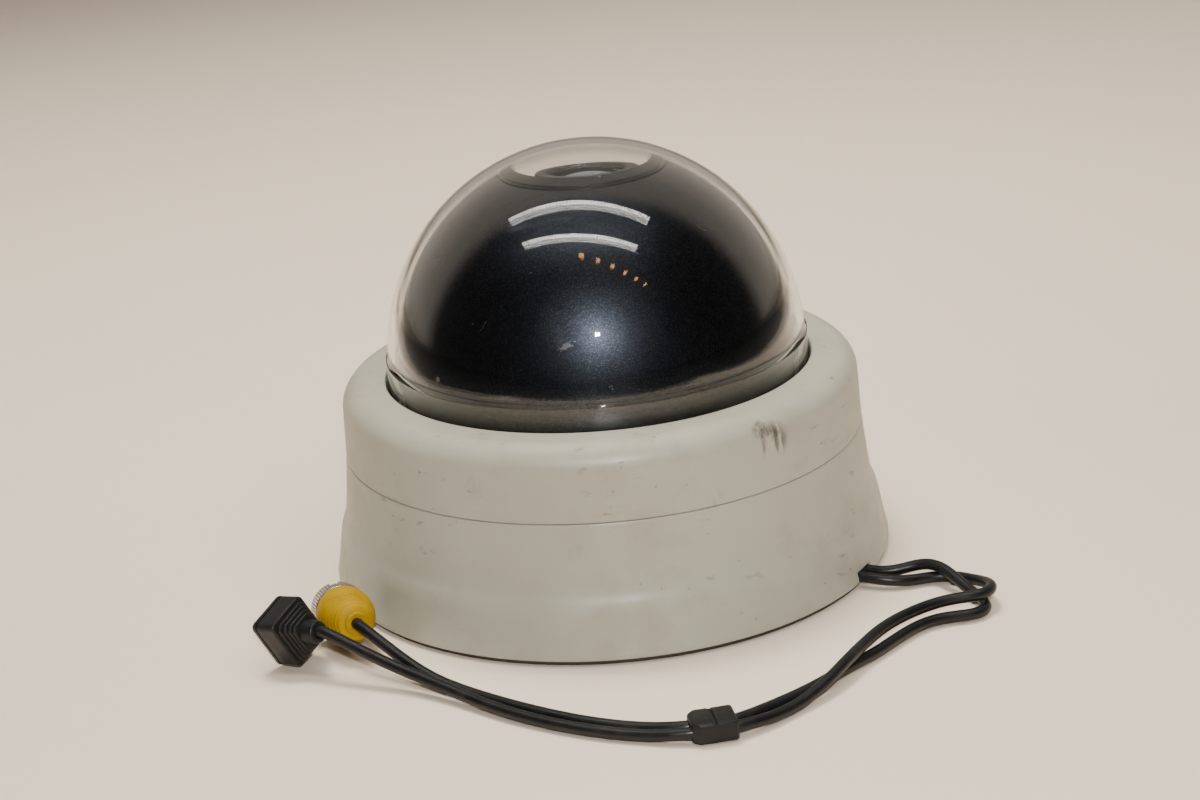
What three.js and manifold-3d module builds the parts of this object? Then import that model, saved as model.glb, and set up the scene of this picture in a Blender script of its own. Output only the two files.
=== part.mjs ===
// Surface-mount dome camera. Millimetres, +Z up, the part stands on z = 0 with its
// round base centred on the Z axis. Each named mesh is one physical piece.

import * as THREE from 'three';
import { mergeVertices } from 'three/addons/utils/BufferGeometryUtils.js';
import Module from 'manifold-3d';

const wasm = await Module();
wasm.setup();

// ---------------------------------------------------------------- driving dimensions

const ROUND = 32;                  // sides of the large round pieces
const SMALL = 16;                  // sides of the small round pieces
const GAP = 0.3;                   // clearance between touching pieces

const PLATE_RADIUS = 74;
const PLATE_TOP = 1.5;
const HOUSING_BOTTOM = PLATE_TOP + GAP;
const RIM_BOTTOM = 1.2;             // the outer rim hangs a little over the plate's edge
const FLOOR_TOP = 4.4;
const CHASSIS_RADIUS = 66;
const SEAM = 35;
const CABLE_HOLE_RADIUS = 12;
const SLOT_ANGLES = [0, 90, 180, 270];
const SLOT_RADIUS = 48;

const COVER_TOP = 54.3;
const COVER_ROOF = 51.8;
const COVER_HOLE_RADIUS = 56.65;

const DOME_CENTRE = 57.55;         // height of the centre of both domes
const DOME_RADIUS = 55.45;
const DOME_INNER = 53.75;
const DOME_SKIRT_RADIUS = 55.9;
const DOME_FLANGE_RADIUS = 59.6;
const DOME_FLANGE_BOTTOM = 47.6;
const DOME_FLANGE_TOP = 49.6;

const LINER_RADIUS = 52.65;
const LINER_INNER = 51.15;
const LINER_LIP_RADIUS = 53.1;
const LINER_BOTTOM = 32.1;
const LENS_SLOT_HALF = 18;         // half width of the slot that the lens looks through
const LENS_SLOT_LIP = 21;
const LENS_SLOT_END = 60;          // height where the slot stops at the back

const COVER_SCREW_CIRCLE = 62.6;
const COVER_SCREW_ANGLES = [20, 110, 200, 290];
const POST_CIRCLE = 57;
const POST_ANGLES = [30, 150, 270];
const POST_TOP = 24;
const PAN_BASE_TOP = 26.8;
const TURNTABLE_BOTTOM = 29.6;
const TURNTABLE_TOP = 31.8;
const HUB_RADIUS = 38.2;
const STOP_RADIUS = 44;
const WIRE_HOLE_RADIUS = 7;        // for the wires up through the middle of the bearing

const BOARD_BOTTOM = 10.3;
const BOARD_TOP = 11.9;
const BOARD_SCREWS = [[30, 24], [-30, 24], [-30, -24], [30, -24]];

const LENS_SIDE_OFFSET = 1.2;      // the gimbal sits this far to +X of the dome's axis
const LENS_LEAN = 4;               // degrees that the lens leans back from straight up
const ARM_INNER = 25.4;
const ARM_OUTER = 27.4;

const CABLE_ANGLE = -31;           // direction in which both cords leave the base
const CABLE_NOTCH_HALF = 4.9;
const CABLE_NOTCH_TOP = 5;
const CORD_RADIUS = 1.45;
const CORD_HEIGHT_IN_GROMMET = 2.65;
const CORD_SPREAD = 2.3;           // each cord's distance from the grommet's middle

// ---------------------------------------------------------------- colours

function paint(color, roughness, metalness = 0) {
  return new THREE.MeshStandardMaterial({ color, roughness, metalness });
}

const IVORY = paint(0xa9a595, 0.55);
const BLACK_GLOSS = paint(0x0b0b0d, 0.12);
const BLACK_MATTE = paint(0x1c1b1a, 0.6);
const BLACK_RUBBER = paint(0x141311, 0.75);
const CLEAR = new THREE.MeshStandardMaterial({
  color: 0xf2f2f0, roughness: 0.05, metalness: 0, transparent: true, opacity: 0.3,
});
const STEEL = paint(0xb4b2ac, 0.3, 1);
const NICKEL = paint(0xa8a294, 0.25, 1);
const GOLD = paint(0xc9a24a, 0.3, 1);
const YELLOW = paint(0xd8a51e, 0.45);
const BOARD_GREEN = paint(0x1d5a34, 0.45);
const CREAM = paint(0xd8d2bd, 0.5);
const GLASS = paint(0x20262c, 0.05);

// ---------------------------------------------------------------- geometry helpers

const RAD = Math.PI / 180;

// A closed solid from a geometry: shared corners are merged and the collapsed triangles at
// the poles of a lathe are dropped.
function solid(geometry) {
  geometry.deleteAttribute('normal');
  geometry.deleteAttribute('uv');
  const merged = mergeVertices(geometry, 1e-5);
  const index = merged.index.array;
  const triangles = [];
  for (let i = 0; i < index.length; i += 3) {
    const [a, b, c] = [index[i], index[i + 1], index[i + 2]];
    if (a !== b && b !== c && c !== a) triangles.push(a, b, c);
  }
  return new wasm.Manifold(new wasm.Mesh({
    numProp: 3,
    vertProperties: new Float32Array(merged.attributes.position.array),
    triVerts: new Uint32Array(triangles),
  }));
}

function toGeometry(manifold) {
  const result = manifold.getMesh();
  const geometry = new THREE.BufferGeometry();
  geometry.setAttribute('position', new THREE.BufferAttribute(new Float32Array(result.vertProperties), 3));
  geometry.setIndex(new THREE.BufferAttribute(new Uint32Array(result.triVerts), 1));
  geometry.computeVertexNormals();
  return geometry;
}

function piece(name, manifold, material) {
  const mesh = new THREE.Mesh(toGeometry(manifold), material);
  mesh.name = name;
  return mesh;
}

// A body of revolution about Z. The profile is a list of [radius, height] that either
// closes on itself or starts and ends on the axis.
function lathe(profile, sides = SMALL) {
  const outline = profile.map(([radius, height]) => new THREE.Vector2(radius, height));
  const points = THREE.ShapeUtils.area(outline) < 0 ? outline.reverse() : outline;
  const onAxis = points[0].x === 0 && points[points.length - 1].x === 0;
  if (!onAxis) points.push(points[0].clone());
  const geometry = new THREE.LatheGeometry(points, sides);
  geometry.rotateX(Math.PI / 2);
  return solid(geometry);
}

function disc(radius, bottom, top, sides = SMALL) {
  return lathe([[0, bottom], [radius, bottom], [radius, top], [0, top]], sides);
}

function ring(inner, outer, bottom, top, sides = SMALL) {
  return lathe([[inner, bottom], [outer, bottom], [outer, top], [inner, top]], sides);
}

function box(x0, x1, y0, y1, z0, z1) {
  const geometry = new THREE.BoxGeometry(x1 - x0, y1 - y0, z1 - z0);
  geometry.translate((x0 + x1) / 2, (y0 + y1) / 2, (z0 + z1) / 2);
  return solid(geometry);
}

// An outline in the XY plane raised from z = bottom to z = top.
function raise(outline, bottom, top) {
  const shape = new THREE.Shape(outline.map(([x, y]) => new THREE.Vector2(x, y)));
  const geometry = new THREE.ExtrudeGeometry(shape, { depth: top - bottom, bevelEnabled: false });
  geometry.translate(0, 0, bottom);
  return solid(geometry);
}

function roundedRectangle(width, height, radius, steps = 2) {
  const outline = [];
  const corners = [[1, -1, -90], [1, 1, 0], [-1, 1, 90], [-1, -1, 180]];
  for (const [sx, sy, start] of corners) {
    for (let i = 0; i <= steps; i += 1) {
      const angle = (start + (90 * i) / steps) * RAD;
      outline.push([
        sx * (width / 2 - radius) + radius * Math.cos(angle),
        sy * (height / 2 - radius) + radius * Math.sin(angle),
      ]);
    }
  }
  return outline;
}

function moved(manifold, x, y, z) {
  return manifold.translate([x, y, z]);
}

function turned(manifold, degrees) {
  return manifold.rotate([0, 0, degrees]);
}

// Lays a solid that was made along +Z over onto +X.
function layOnX(manifold) {
  return manifold.rotate([0, 90, 0]);
}

function polar(radius, degrees) {
  return [radius * Math.cos(degrees * RAD), radius * Math.sin(degrees * RAD)];
}

function arc(centreHeight, radius, from, to, steps) {
  const points = [];
  for (let i = 0; i <= steps; i += 1) {
    const angle = (from + ((to - from) * i) / steps) * RAD;
    const r = Math.abs(Math.cos(angle)) < 1e-9 ? 0 : radius * Math.cos(angle);
    points.push([r, centreHeight + radius * Math.sin(angle)]);
  }
  return points;
}

// A pan-head screw along Z with its head on top of z = seat and its shank going down.
function screw(headRadius, headHeight, shankRadius, shankLength, seat) {
  return lathe([
    [0, seat - shankLength],
    [shankRadius, seat - shankLength],
    [shankRadius, seat],
    [headRadius, seat],
    [headRadius, seat + headHeight * 0.6],
    [headRadius * 0.7, seat + headHeight],
    [0, seat + headHeight],
  ], 8);
}

const root = new THREE.Group();

// ---------------------------------------------------------------- base and lower housing

function mountingSlots(bottom, top) {
  const cuts = SLOT_ANGLES.map((angle) => {
    const slot = raise(roundedRectangle(5.4, 13, 2.4), bottom, top);
    return turned(moved(slot, SLOT_RADIUS, 0, 0), angle);
  });
  return wasm.Manifold.union(cuts);
}

function cableNotch(halfWidth, bottom, top) {
  return turned(box(50, 82, -halfWidth, halfWidth, bottom, top), CABLE_ANGLE);
}

function basePlate() {
  return ring(CABLE_HOLE_RADIUS, PLATE_RADIUS, 0, PLATE_TOP, ROUND)
    .subtract(mountingSlots(-1, 3))
    .subtract(cableNotch(CABLE_NOTCH_HALF, -1, 3));
}

function lowerHousing() {
  const profile = [
    [CHASSIS_RADIUS + GAP, HOUSING_BOTTOM],
    [PLATE_RADIUS + GAP, HOUSING_BOTTOM],
    [PLATE_RADIUS + GAP, RIM_BOTTOM],
    [74.8, RIM_BOTTOM],
    [75, HOUSING_BOTTOM + 0.5],
    [73.9, 7.5],
    [72.8, 14.5],
    [71.3, 18],
    [70.5, 22.5],
    [69.2, SEAM],
    [66.8, SEAM],
    [67.8, 22],
    [70.4, 13],
    [71.2, FLOOR_TOP],
    [CHASSIS_RADIUS + GAP, FLOOR_TOP],
  ];
  return lathe(profile, ROUND).subtract(cableNotch(CABLE_NOTCH_HALF, 0, CABLE_NOTCH_TOP));
}

// The round tray inside the housing, with the posts and bosses that everything stands on.
function chassis() {
  const additions = [];
  const cuts = [mountingSlots(0, 9), cableNotch(CABLE_NOTCH_HALF, 0, CABLE_NOTCH_TOP)];
  for (const angle of POST_ANGLES) {
    const [x, y] = polar(POST_CIRCLE, angle);
    additions.push(moved(disc(3.8, FLOOR_TOP - 1, POST_TOP, 8), x, y, 0));
    cuts.push(moved(disc(1.5, 12, POST_TOP + 1, 8), x, y, 0));
  }
  for (const [x, y] of BOARD_SCREWS) {
    additions.push(moved(disc(3, FLOOR_TOP - 1, BOARD_BOTTOM - GAP, 8), x, y, 0));
    cuts.push(moved(disc(1.4, FLOOR_TOP + 0.4, BOARD_BOTTOM, 8), x, y, 0));
  }
  const tray = ring(CABLE_HOLE_RADIUS, CHASSIS_RADIUS, HOUSING_BOTTOM, FLOOR_TOP, ROUND);
  return wasm.Manifold.union([tray, ...additions]).subtract(wasm.Manifold.union(cuts));
}

function cableGrommet() {
  let body = raise(roundedRectangle(9.2, 4.1, 1.6), 64, 74.4);
  for (const side of [-CORD_SPREAD, CORD_SPREAD]) {
    body = body.subtract(moved(disc(CORD_RADIUS + GAP, 60, 85, 16), side, 0, 0));
  }
  // The section was drawn in XY and raised along Z: turn it so that it points outwards.
  const outward = body.rotate([90, 0, 90]);
  return turned(moved(outward, 0, 0, CORD_HEIGHT_IN_GROMMET), CABLE_ANGLE);
}

root.add(piece('base_plate', basePlate(), BLACK_MATTE));
root.add(piece('lower_housing', lowerHousing(), IVORY));
root.add(piece('chassis', chassis(), BLACK_MATTE));
root.add(piece('cable_grommet', cableGrommet(), BLACK_RUBBER));

// ---------------------------------------------------------------- electronics in the base

function mainBoard() {
  const corner = roundedRectangle(72, 58, 4);
  let board = raise(corner, BOARD_BOTTOM, BOARD_TOP);
  for (const [x, y] of BOARD_SCREWS) {
    board = board.subtract(moved(disc(1.7, BOARD_BOTTOM - 1, BOARD_TOP + 1, 8), x, y, 0));
  }
  return board;
}

function terminalBlock() {
  const body = box(27, 35, -14, 6, BOARD_TOP + GAP, 20);
  const cuts = [-11, -4, 3].map((y) => moved(disc(1.6, 16.5, 21, 12), 31, y, 0));
  return body.subtract(wasm.Manifold.union(cuts));
}

function boardCapacitor() {
  return disc(4, BOARD_TOP + GAP, 20, 16);
}

root.add(piece('main_board', mainBoard(), BOARD_GREEN));
BOARD_SCREWS.forEach(([x, y], i) => {
  const fixing = screw(2.6, 1.7, 1.1, 6.5, BOARD_TOP + GAP);
  root.add(piece(`board_screw_${i + 1}`, moved(fixing, x, y, 0), STEEL));
});
root.add(piece('terminal_block', terminalBlock(), CREAM));
root.add(piece('board_capacitor', moved(boardCapacitor(), -20, 0, 0), BLACK_MATTE));

// ---------------------------------------------------------------- pan bearing

function stopBlock(bottom, top, angle) {
  const block = box(STOP_RADIUS - 2, STOP_RADIUS + 2, -2.6, 2.6, bottom, top);
  return turned(block, angle);
}

function panBase() {
  const profile = [
    [HUB_RADIUS + GAP, POST_TOP + GAP],
    [61.5, POST_TOP + GAP],
    [61.5, PAN_BASE_TOP],
    [41, PAN_BASE_TOP],
    [41, TURNTABLE_BOTTOM - GAP],
    [HUB_RADIUS + GAP, TURNTABLE_BOTTOM - GAP],
  ];
  let plate = lathe(profile, ROUND).add(stopBlock(PAN_BASE_TOP - 0.5, TURNTABLE_BOTTOM - 0.5, 90));
  for (const angle of POST_ANGLES) {
    const [x, y] = polar(POST_CIRCLE, angle);
    plate = plate.subtract(moved(disc(1.7, 20, 30, 8), x, y, 0));
  }
  return plate;
}

function panTurntable() {
  const profile = [
    [WIRE_HOLE_RADIUS, POST_TOP + GAP],
    [HUB_RADIUS, POST_TOP + GAP],
    [HUB_RADIUS, TURNTABLE_BOTTOM],
    [52.4, TURNTABLE_BOTTOM],
    [52.4, TURNTABLE_TOP],
    [WIRE_HOLE_RADIUS, TURNTABLE_TOP],
  ];
  return lathe(profile, ROUND).add(stopBlock(PAN_BASE_TOP + 0.6, TURNTABLE_BOTTOM + 0.5, 270));
}

root.add(piece('pan_base', panBase(), BLACK_MATTE));
POST_ANGLES.forEach((angle, i) => {
  const [x, y] = polar(POST_CIRCLE, angle);
  const fixing = screw(2.8, 1.8, 1.2, 9, PAN_BASE_TOP + GAP);
  root.add(piece(`pan_base_screw_${i + 1}`, moved(fixing, x, y, 0), STEEL));
});
root.add(piece('pan_turntable', panTurntable(), BLACK_MATTE));
root.add(piece('pan_retainer', ring(WIRE_HOLE_RADIUS, 42, 21.6, POST_TOP, ROUND), BLACK_MATTE));

// ---------------------------------------------------------------- black inner dome

// The U-shaped outline of the lens slot, seen from above: round at the front of the
// pole and running out past the back of the dome.
function slotOutline(half) {
  const outline = [[half, 60], [-half, 60]];
  for (let i = 0; i <= 12; i += 1) {
    const angle = (180 + 15 * i) * RAD;
    outline.push([half * Math.cos(angle), half * Math.sin(angle)]);
  }
  return outline;
}

function blackLiner() {
  const shell = lathe([
    ...arc(DOME_CENTRE, LINER_INNER, 90, 0, 7),
    [LINER_INNER, LINER_BOTTOM + 2],
    [46.5, LINER_BOTTOM + 2],
    [46.5, LINER_BOTTOM],
    [LINER_RADIUS, LINER_BOTTOM],
    ...arc(DOME_CENTRE, LINER_RADIUS, 0, 90, 8),
  ], ROUND);
  const lipShell = lathe([
    ...arc(DOME_CENTRE, LINER_INNER + 0.7, 90, 0, 8),
    ...arc(DOME_CENTRE, LINER_LIP_RADIUS, 0, 90, 8),
  ], ROUND);
  const lipArea = raise(slotOutline(LENS_SLOT_LIP), LENS_SLOT_END, 130);
  const slot = raise(slotOutline(LENS_SLOT_HALF), LENS_SLOT_END, 130);
  return shell.add(lipShell.intersect(lipArea)).subtract(slot);
}

root.add(piece('black_liner', blackLiner(), BLACK_GLOSS));
[90, 210, 330].forEach((angle, i) => {
  const [x, y] = polar(48.8, angle);
  const fixing = lathe([
    [0, LINER_BOTTOM + 2 + GAP],
    [1.9, LINER_BOTTOM + 2 + GAP],
    [1.9, LINER_BOTTOM + 3.6],
    [1.3, LINER_BOTTOM + 4],
    [0, LINER_BOTTOM + 4],
  ], 12);
  root.add(piece(`liner_screw_${i + 1}`, moved(fixing, x, y, 0), STEEL));
});

// ---------------------------------------------------------------- gimbal

function tiltYoke() {
  const floor = box(-ARM_OUTER, ARM_OUTER, -11, 11, TURNTABLE_TOP + GAP, TURNTABLE_TOP + 2.3);
  const centreHole = disc(WIRE_HOLE_RADIUS, 30, 40, SMALL);
  let yoke = floor.subtract(centreHole);
  for (const side of [-1, 1]) {
    const x0 = Math.min(side * ARM_INNER, side * ARM_OUTER);
    const x1 = Math.max(side * ARM_INNER, side * ARM_OUTER);
    const arm = box(x0, x1, -9, 9, TURNTABLE_TOP + GAP, DOME_CENTRE);
    const crown = moved(layOnX(disc(9, x0, x1, 20)), 0, 0, DOME_CENTRE);
    const hole = moved(layOnX(disc(2.3, x0 - 1, x1 + 1, 12)), 0, 0, DOME_CENTRE);
    yoke = yoke.add(arm).add(crown).subtract(hole);
  }
  return moved(yoke, LENS_SIDE_OFFSET, 0, 0);
}

root.add(piece('tilt_yoke', tiltYoke(), BLACK_MATTE));
[-17, 17].forEach((x, i) => {
  const fixing = screw(2.6, 1.7, 1.1, 0, TURNTABLE_TOP + 2.3 + GAP);
  root.add(piece(`yoke_screw_${i + 1}`, moved(fixing, LENS_SIDE_OFFSET + x, 0, 0), STEEL));
});

// The pieces below are drawn about the tilt axis with the lens looking along +Z, then the
// whole head is leaned back and lifted to the middle of the dome.
const head = new THREE.Group();
head.position.set(LENS_SIDE_OFFSET, 0, DOME_CENTRE);
head.rotation.x = -LENS_LEAN * RAD;
root.add(head);

const CRADLE_INNER = 17.4;
const SLEEVE_RADIUS = 17.1;
const BARREL_RADIUS = 10.4;
const LENS_FACE = 47.3;
const LENS_FACE_RADIUS = 13.6;
const LENS_BORE = 7;

function tiltCradle() {
  let cradle = disc(20.6, -5, 5, 24);
  for (const side of [-1, 1]) {
    const from = side > 0 ? 18 : -25.1;
    const to = side > 0 ? 25.1 : -18;
    cradle = cradle.add(layOnX(disc(4.8, from, to, 16)));
  }
  cradle = cradle.subtract(disc(CRADLE_INNER, -6, 6, 24));
  for (const side of [-1, 1]) {
    const from = side > 0 ? 20 : -26;
    const to = side > 0 ? 26 : -20;
    cradle = cradle.subtract(layOnX(disc(2.2, from, to, 16)));
  }
  return cradle;
}

// A knurled thumb screw along +X that clamps the cradle between the yoke's arms.
function tiltScrew() {
  const knob = [];
  for (let i = 0; i < 24; i += 1) {
    const angle = (i / 24) * 2 * Math.PI;
    const radius = i % 2 === 0 ? 5.6 : 5.1;
    knob.push([radius * Math.cos(angle), radius * Math.sin(angle)]);
  }
  const shank = disc(1.9, 20.4, 28, 16);
  return layOnX(shank.add(raise(knob, ARM_OUTER + GAP, 31.2)));
}

function moduleSleeve() {
  return lathe([
    [LENS_BORE, -9],
    [SLEEVE_RADIUS, -9],
    [SLEEVE_RADIUS, 6.5],
    [15.5, 8],
    [BARREL_RADIUS + GAP, 8],
    [BARREL_RADIUS + GAP, -2 - GAP],
    [LENS_BORE, -2 - GAP],
  ], 24);
}

function sensorBoard() {
  const half = 14.5;
  const outline = roundedRectangle(2 * half, 2 * half, 2);
  return raise(outline, -10.9, -9.3);
}

function lensBarrel() {
  return lathe([
    [LENS_BORE, -2],
    [BARREL_RADIUS, -2],
    [BARREL_RADIUS, 20.4],
    [12.7, 20.4],
    [12.7, 23.6],
    [BARREL_RADIUS, 23.6],
    [BARREL_RADIUS, 36.4],
    [12.9, 36.4],
    [LENS_FACE_RADIUS, 39],
    [LENS_FACE_RADIUS, LENS_FACE - 0.5],
    [LENS_FACE_RADIUS - 0.5, LENS_FACE],
    [10.6, LENS_FACE],
    [9.9, 44.4],
    [LENS_BORE, 44.4],
  ], 24);
}

function frontGlass() {
  return lathe([
    [0, 44.7],
    [9.5, 44.7],
    [9.5, 45],
    [7.2, 45.9],
    [4, 46.5],
    [0, 46.7],
  ], 24);
}

function controlRing(bottom, top) {
  return lathe([
    [BARREL_RADIUS + GAP, bottom],
    [12.9, bottom],
    [13.3, bottom + 0.5],
    [13.3, top - 0.5],
    [12.9, top],
    [BARREL_RADIUS + GAP, top],
  ], 24);
}

// A small locking lever that stands out from a lens ring along +X.
function ringLever(height) {
  const stem = disc(1.2, 13.6, 17.5, 12);
  const grip = disc(1.9, 17.2, 20.2, 12);
  return moved(layOnX(stem.add(grip)), 0, 0, height);
}

head.add(piece('tilt_cradle', tiltCradle(), BLACK_MATTE));
head.add(piece('tilt_screw_right', tiltScrew(), BLACK_MATTE));
head.add(piece('tilt_screw_left', turned(tiltScrew(), 180), BLACK_MATTE));
head.add(piece('module_sleeve', moduleSleeve(), BLACK_MATTE));
head.add(piece('sensor_board', sensorBoard(), BOARD_GREEN));
head.add(piece('image_sensor', box(-5, 5, -4.2, 4.2, -9, -7), CREAM));
head.add(piece('lens_barrel', lensBarrel(), BLACK_MATTE));
head.add(piece('front_glass', frontGlass(), GLASS));
head.add(piece('zoom_ring', controlRing(11, 20.1), BLACK_MATTE));
head.add(piece('zoom_lever', turned(ringLever(15.5), 200), STEEL));
head.add(piece('focus_ring', controlRing(23.9, 36.1), BLACK_MATTE));
head.add(piece('focus_lever', turned(ringLever(30), 340), STEEL));

// ---------------------------------------------------------------- upper cover and clear dome

function upperCover() {
  const profile = [
    [64.9, SEAM - 4],
    [66, SEAM - 4],
    [66.2, SEAM + GAP],
    [69.1, SEAM + GAP],
    [68.7, 46],
    [68.4, 48.5],
    [67.6, 51],
    [66.2, 52.9],
    [64.4, 54],
    [62.4, COVER_TOP],
    [COVER_HOLE_RADIUS, COVER_TOP],
    [COVER_HOLE_RADIUS, COVER_ROOF],
    [63, COVER_ROOF],
    [64.6, 50.6],
    [65.9, 48],
    [66.2, 39],
    [64.9, 37],
  ];
  let cover = lathe(profile, ROUND);
  for (const angle of COVER_SCREW_ANGLES) {
    const [x, y] = polar(COVER_SCREW_CIRCLE, angle);
    cover = cover.add(moved(disc(2.3, 47.6, COVER_ROOF + 0.5, 8), x, y, 0));
    cover = cover.subtract(moved(disc(1.3, 47, COVER_ROOF, 8), x, y, 0));
  }
  return cover;
}

function clearDome() {
  return lathe([
    ...arc(DOME_CENTRE, DOME_INNER, 90, 0, 8),
    [DOME_INNER, DOME_FLANGE_BOTTOM],
    [DOME_FLANGE_RADIUS, DOME_FLANGE_BOTTOM],
    [DOME_FLANGE_RADIUS, DOME_FLANGE_TOP],
    [DOME_SKIRT_RADIUS, DOME_FLANGE_TOP],
    [DOME_SKIRT_RADIUS, 60],
    ...arc(DOME_CENTRE, DOME_RADIUS, 4, 90, 8),
  ], ROUND);
}

function retainingRing() {
  let plate = ring(56.4, 65, 44.9, 47.3, ROUND);
  for (const angle of COVER_SCREW_ANGLES) {
    const [x, y] = polar(COVER_SCREW_CIRCLE, angle);
    plate = plate.subtract(moved(disc(1.3, 40, 50, 8), x, y, 0));
  }
  return plate;
}

root.add(piece('upper_cover', upperCover(), IVORY));
root.add(piece('clear_dome', clearDome(), CLEAR));
root.add(piece('dome_seal', ring(56.3, 59.8, DOME_FLANGE_TOP + GAP, COVER_ROOF - GAP, ROUND), BLACK_RUBBER));
root.add(piece('retaining_ring', retainingRing(), BLACK_MATTE));
COVER_SCREW_ANGLES.forEach((angle, i) => {
  const [x, y] = polar(COVER_SCREW_CIRCLE, angle);
  const fixing = screw(2.2, 1.6, 1, 5.8, 0).rotate([180, 0, 0]);
  root.add(piece(`retaining_screw_${i + 1}`, moved(fixing, x, y, 44.6), STEEL));
});

// ---------------------------------------------------------------- cords and their connectors

// A smooth curve that is stepped at its listed points, so that they can be set closer
// together in the bends.
class CordPath extends THREE.CatmullRomCurve3 {
  getPointAt(u, target) {
    return this.getPoint(u, target);
  }

  getTangentAt(u, target) {
    return this.getTangent(u, target);
  }
}

// A cord of round section through the listed points.
function cord(points) {
  const path = new CordPath(points.map((point) => new THREE.Vector3(...point)), false, 'centripetal');
  const section = new THREE.Shape();
  for (let i = 0; i < 8; i += 1) {
    const angle = (i / 8) * 2 * Math.PI;
    const x = CORD_RADIUS * Math.cos(angle);
    const y = CORD_RADIUS * Math.sin(angle);
    if (i === 0) section.moveTo(x, y);
    else section.lineTo(x, y);
  }
  section.closePath();
  const settings = { steps: points.length - 1, extrudePath: path, bevelEnabled: false };
  return solid(new THREE.ExtrudeGeometry(section, settings));
}

// The last stretch inside the base, through the grommet and out of the notch.
function throughGrommet(side) {
  const stations = [
    [56.5, 4.8],
    [62.4, CORD_HEIGHT_IN_GROMMET],
    [71, CORD_HEIGHT_IN_GROMMET],
    [80.2, CORD_HEIGHT_IN_GROMMET],
  ];
  return stations.map(([radius, height]) => {
    const [x, y] = polar(radius, CABLE_ANGLE);
    const [sx, sy] = polar(side, CABLE_ANGLE + 90);
    return [x + sx, y + sy, height];
  });
}

// The stretch through the clip, which holds the two cords side by side.
const CLIP_CENTRE = [19, -115.6];
const CLIP_TURN = 8;
const CLIP_BORE_HEIGHT = 2.5;
const CLIP_BORE_OFFSET = 1.65;

function throughClip(side) {
  return [6.8, 3.6, -3.6, -6.8].map((distance) => {
    const [ax, ay] = polar(distance, CLIP_TURN);
    const [sx, sy] = polar(side * CLIP_BORE_OFFSET, CLIP_TURN + 90);
    return [CLIP_CENTRE[0] + ax + sx, CLIP_CENTRE[1] + ay + sy, CLIP_BORE_HEIGHT];
  });
}

// Both connectors are drawn along +Z with the cord entering at z = 0, then laid down.
function layAlong(manifold, connector) {
  return manifold
    .rotate([0, 0, connector.roll])
    .rotate([0, 90 + connector.dip, 0])
    .rotate([0, 0, connector.heading])
    .translate(connector.rear);
}

function alongConnector(connector, distance) {
  const [x, y] = polar(Math.cos(connector.dip * RAD) * distance, connector.heading);
  const [x0, y0, z0] = connector.rear;
  return [x0 + x, y0 + y, z0 - Math.sin(connector.dip * RAD) * distance];
}

const BOOT = { rear: [-64.6, -61.5, 10.5], heading: 111, dip: 9.5, roll: 0 };
const PLUG = { rear: [-73.6, -66.8, 11.6], heading: 137, dip: 12, roll: -23 };
const BOOT_ENTRY = 5;              // depth that the cord goes into a connector
const PLUG_ENTRY = 4;

const VIDEO_PATH = [
  [35.4, -4, 16],
  [38, -4, 16],
  [42.5, -6, 15],
  [46.5, -12, 12],
  [50, -20, 8.5],
  ...throughGrommet(CORD_SPREAD),
  [74, -38.9, 3.1],
  [78, -38.6, 4.2],
  [81.2, -40.8, 5.1],
  [83.4, -44, 5],
  [86.4, -49.6, 3.5],
  [89.2, -54.6, 1.9],
  [91.3, -58.8, 1.6],
  [92, -62.2, 1.6],
  [90.4, -65.3, 1.6],
  [87.2, -66.6, 1.6],
  [81.6, -66.4, 1.6],
  [75.5, -68.2, 1.6],
  [68, -74.8, 1.6],
  [60.5, -83.2, 1.6],
  [53.3, -89.3, 1.6],
  [47.3, -95.3, 1.6],
  [41.2, -100.7, 1.6],
  [35, -105.2, 1.6],
  [30, -109.2, 2],
  ...throughClip(1),
  [4.5, -112.2, 1.6],
  [-5, -108.8, 1.6],
  [-16, -102.7, 1.6],
  [-28, -94.1, 1.6],
  [-39.5, -84.2, 1.6],
  [-46.7, -78.6, 2.8],
  [-53, -73.8, 5.6],
  [-58.8, -68.6, 8.6],
  alongConnector(BOOT, -3.4),
  alongConnector(BOOT, BOOT_ENTRY - 0.4),
];

const POWER_PATH = [
  [35.4, -11, 16],
  [38, -11, 16],
  [41.5, -14, 14.6],
  [44, -20, 11.5],
  [45.4, -26, 7.7],
  ...throughGrommet(-CORD_SPREAD),
  [72.6, -43.8, 1.8],
  [77, -42.8, 1.6],
  [81, -41.6, 1.6],
  [85, -41.8, 1.6],
  [89, -44.4, 1.7],
  [91.6, -48.8, 2.6],
  [93, -52.8, 3.9],
  [93.8, -56.8, 4.9],
  [93.4, -60.2, 5.1],
  [91.2, -62.6, 5.1],
  [87.8, -63.2, 5.1],
  [82.4, -62.4, 4.3],
  [75.8, -64.4, 3],
  [67.5, -70.2, 1.9],
  [61.6, -77.6, 3.4],
  [58, -83.6, 5],
  [54.6, -89.8, 5],
  [50.6, -95.4, 4.6],
  [46, -101, 3],
  [40.5, -105.8, 1.6],
  [35.6, -110, 1.6],
  [31, -113.6, 2.1],
  ...throughClip(-1),
  [4.5, -115.9, 1.6],
  [-5, -112.6, 1.6],
  [-16, -106.9, 1.6],
  [-28, -98.7, 1.9],
  [-39.3, -88.7, 2.6],
  [-46.3, -83.2, 3.8],
  [-53.8, -78.2, 5.4],
  [-61, -74.4, 7.9],
  [-67, -71, 10.2],
  alongConnector(PLUG, -2.4),
  alongConnector(PLUG, PLUG_ENTRY - 0.4),
];

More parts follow.
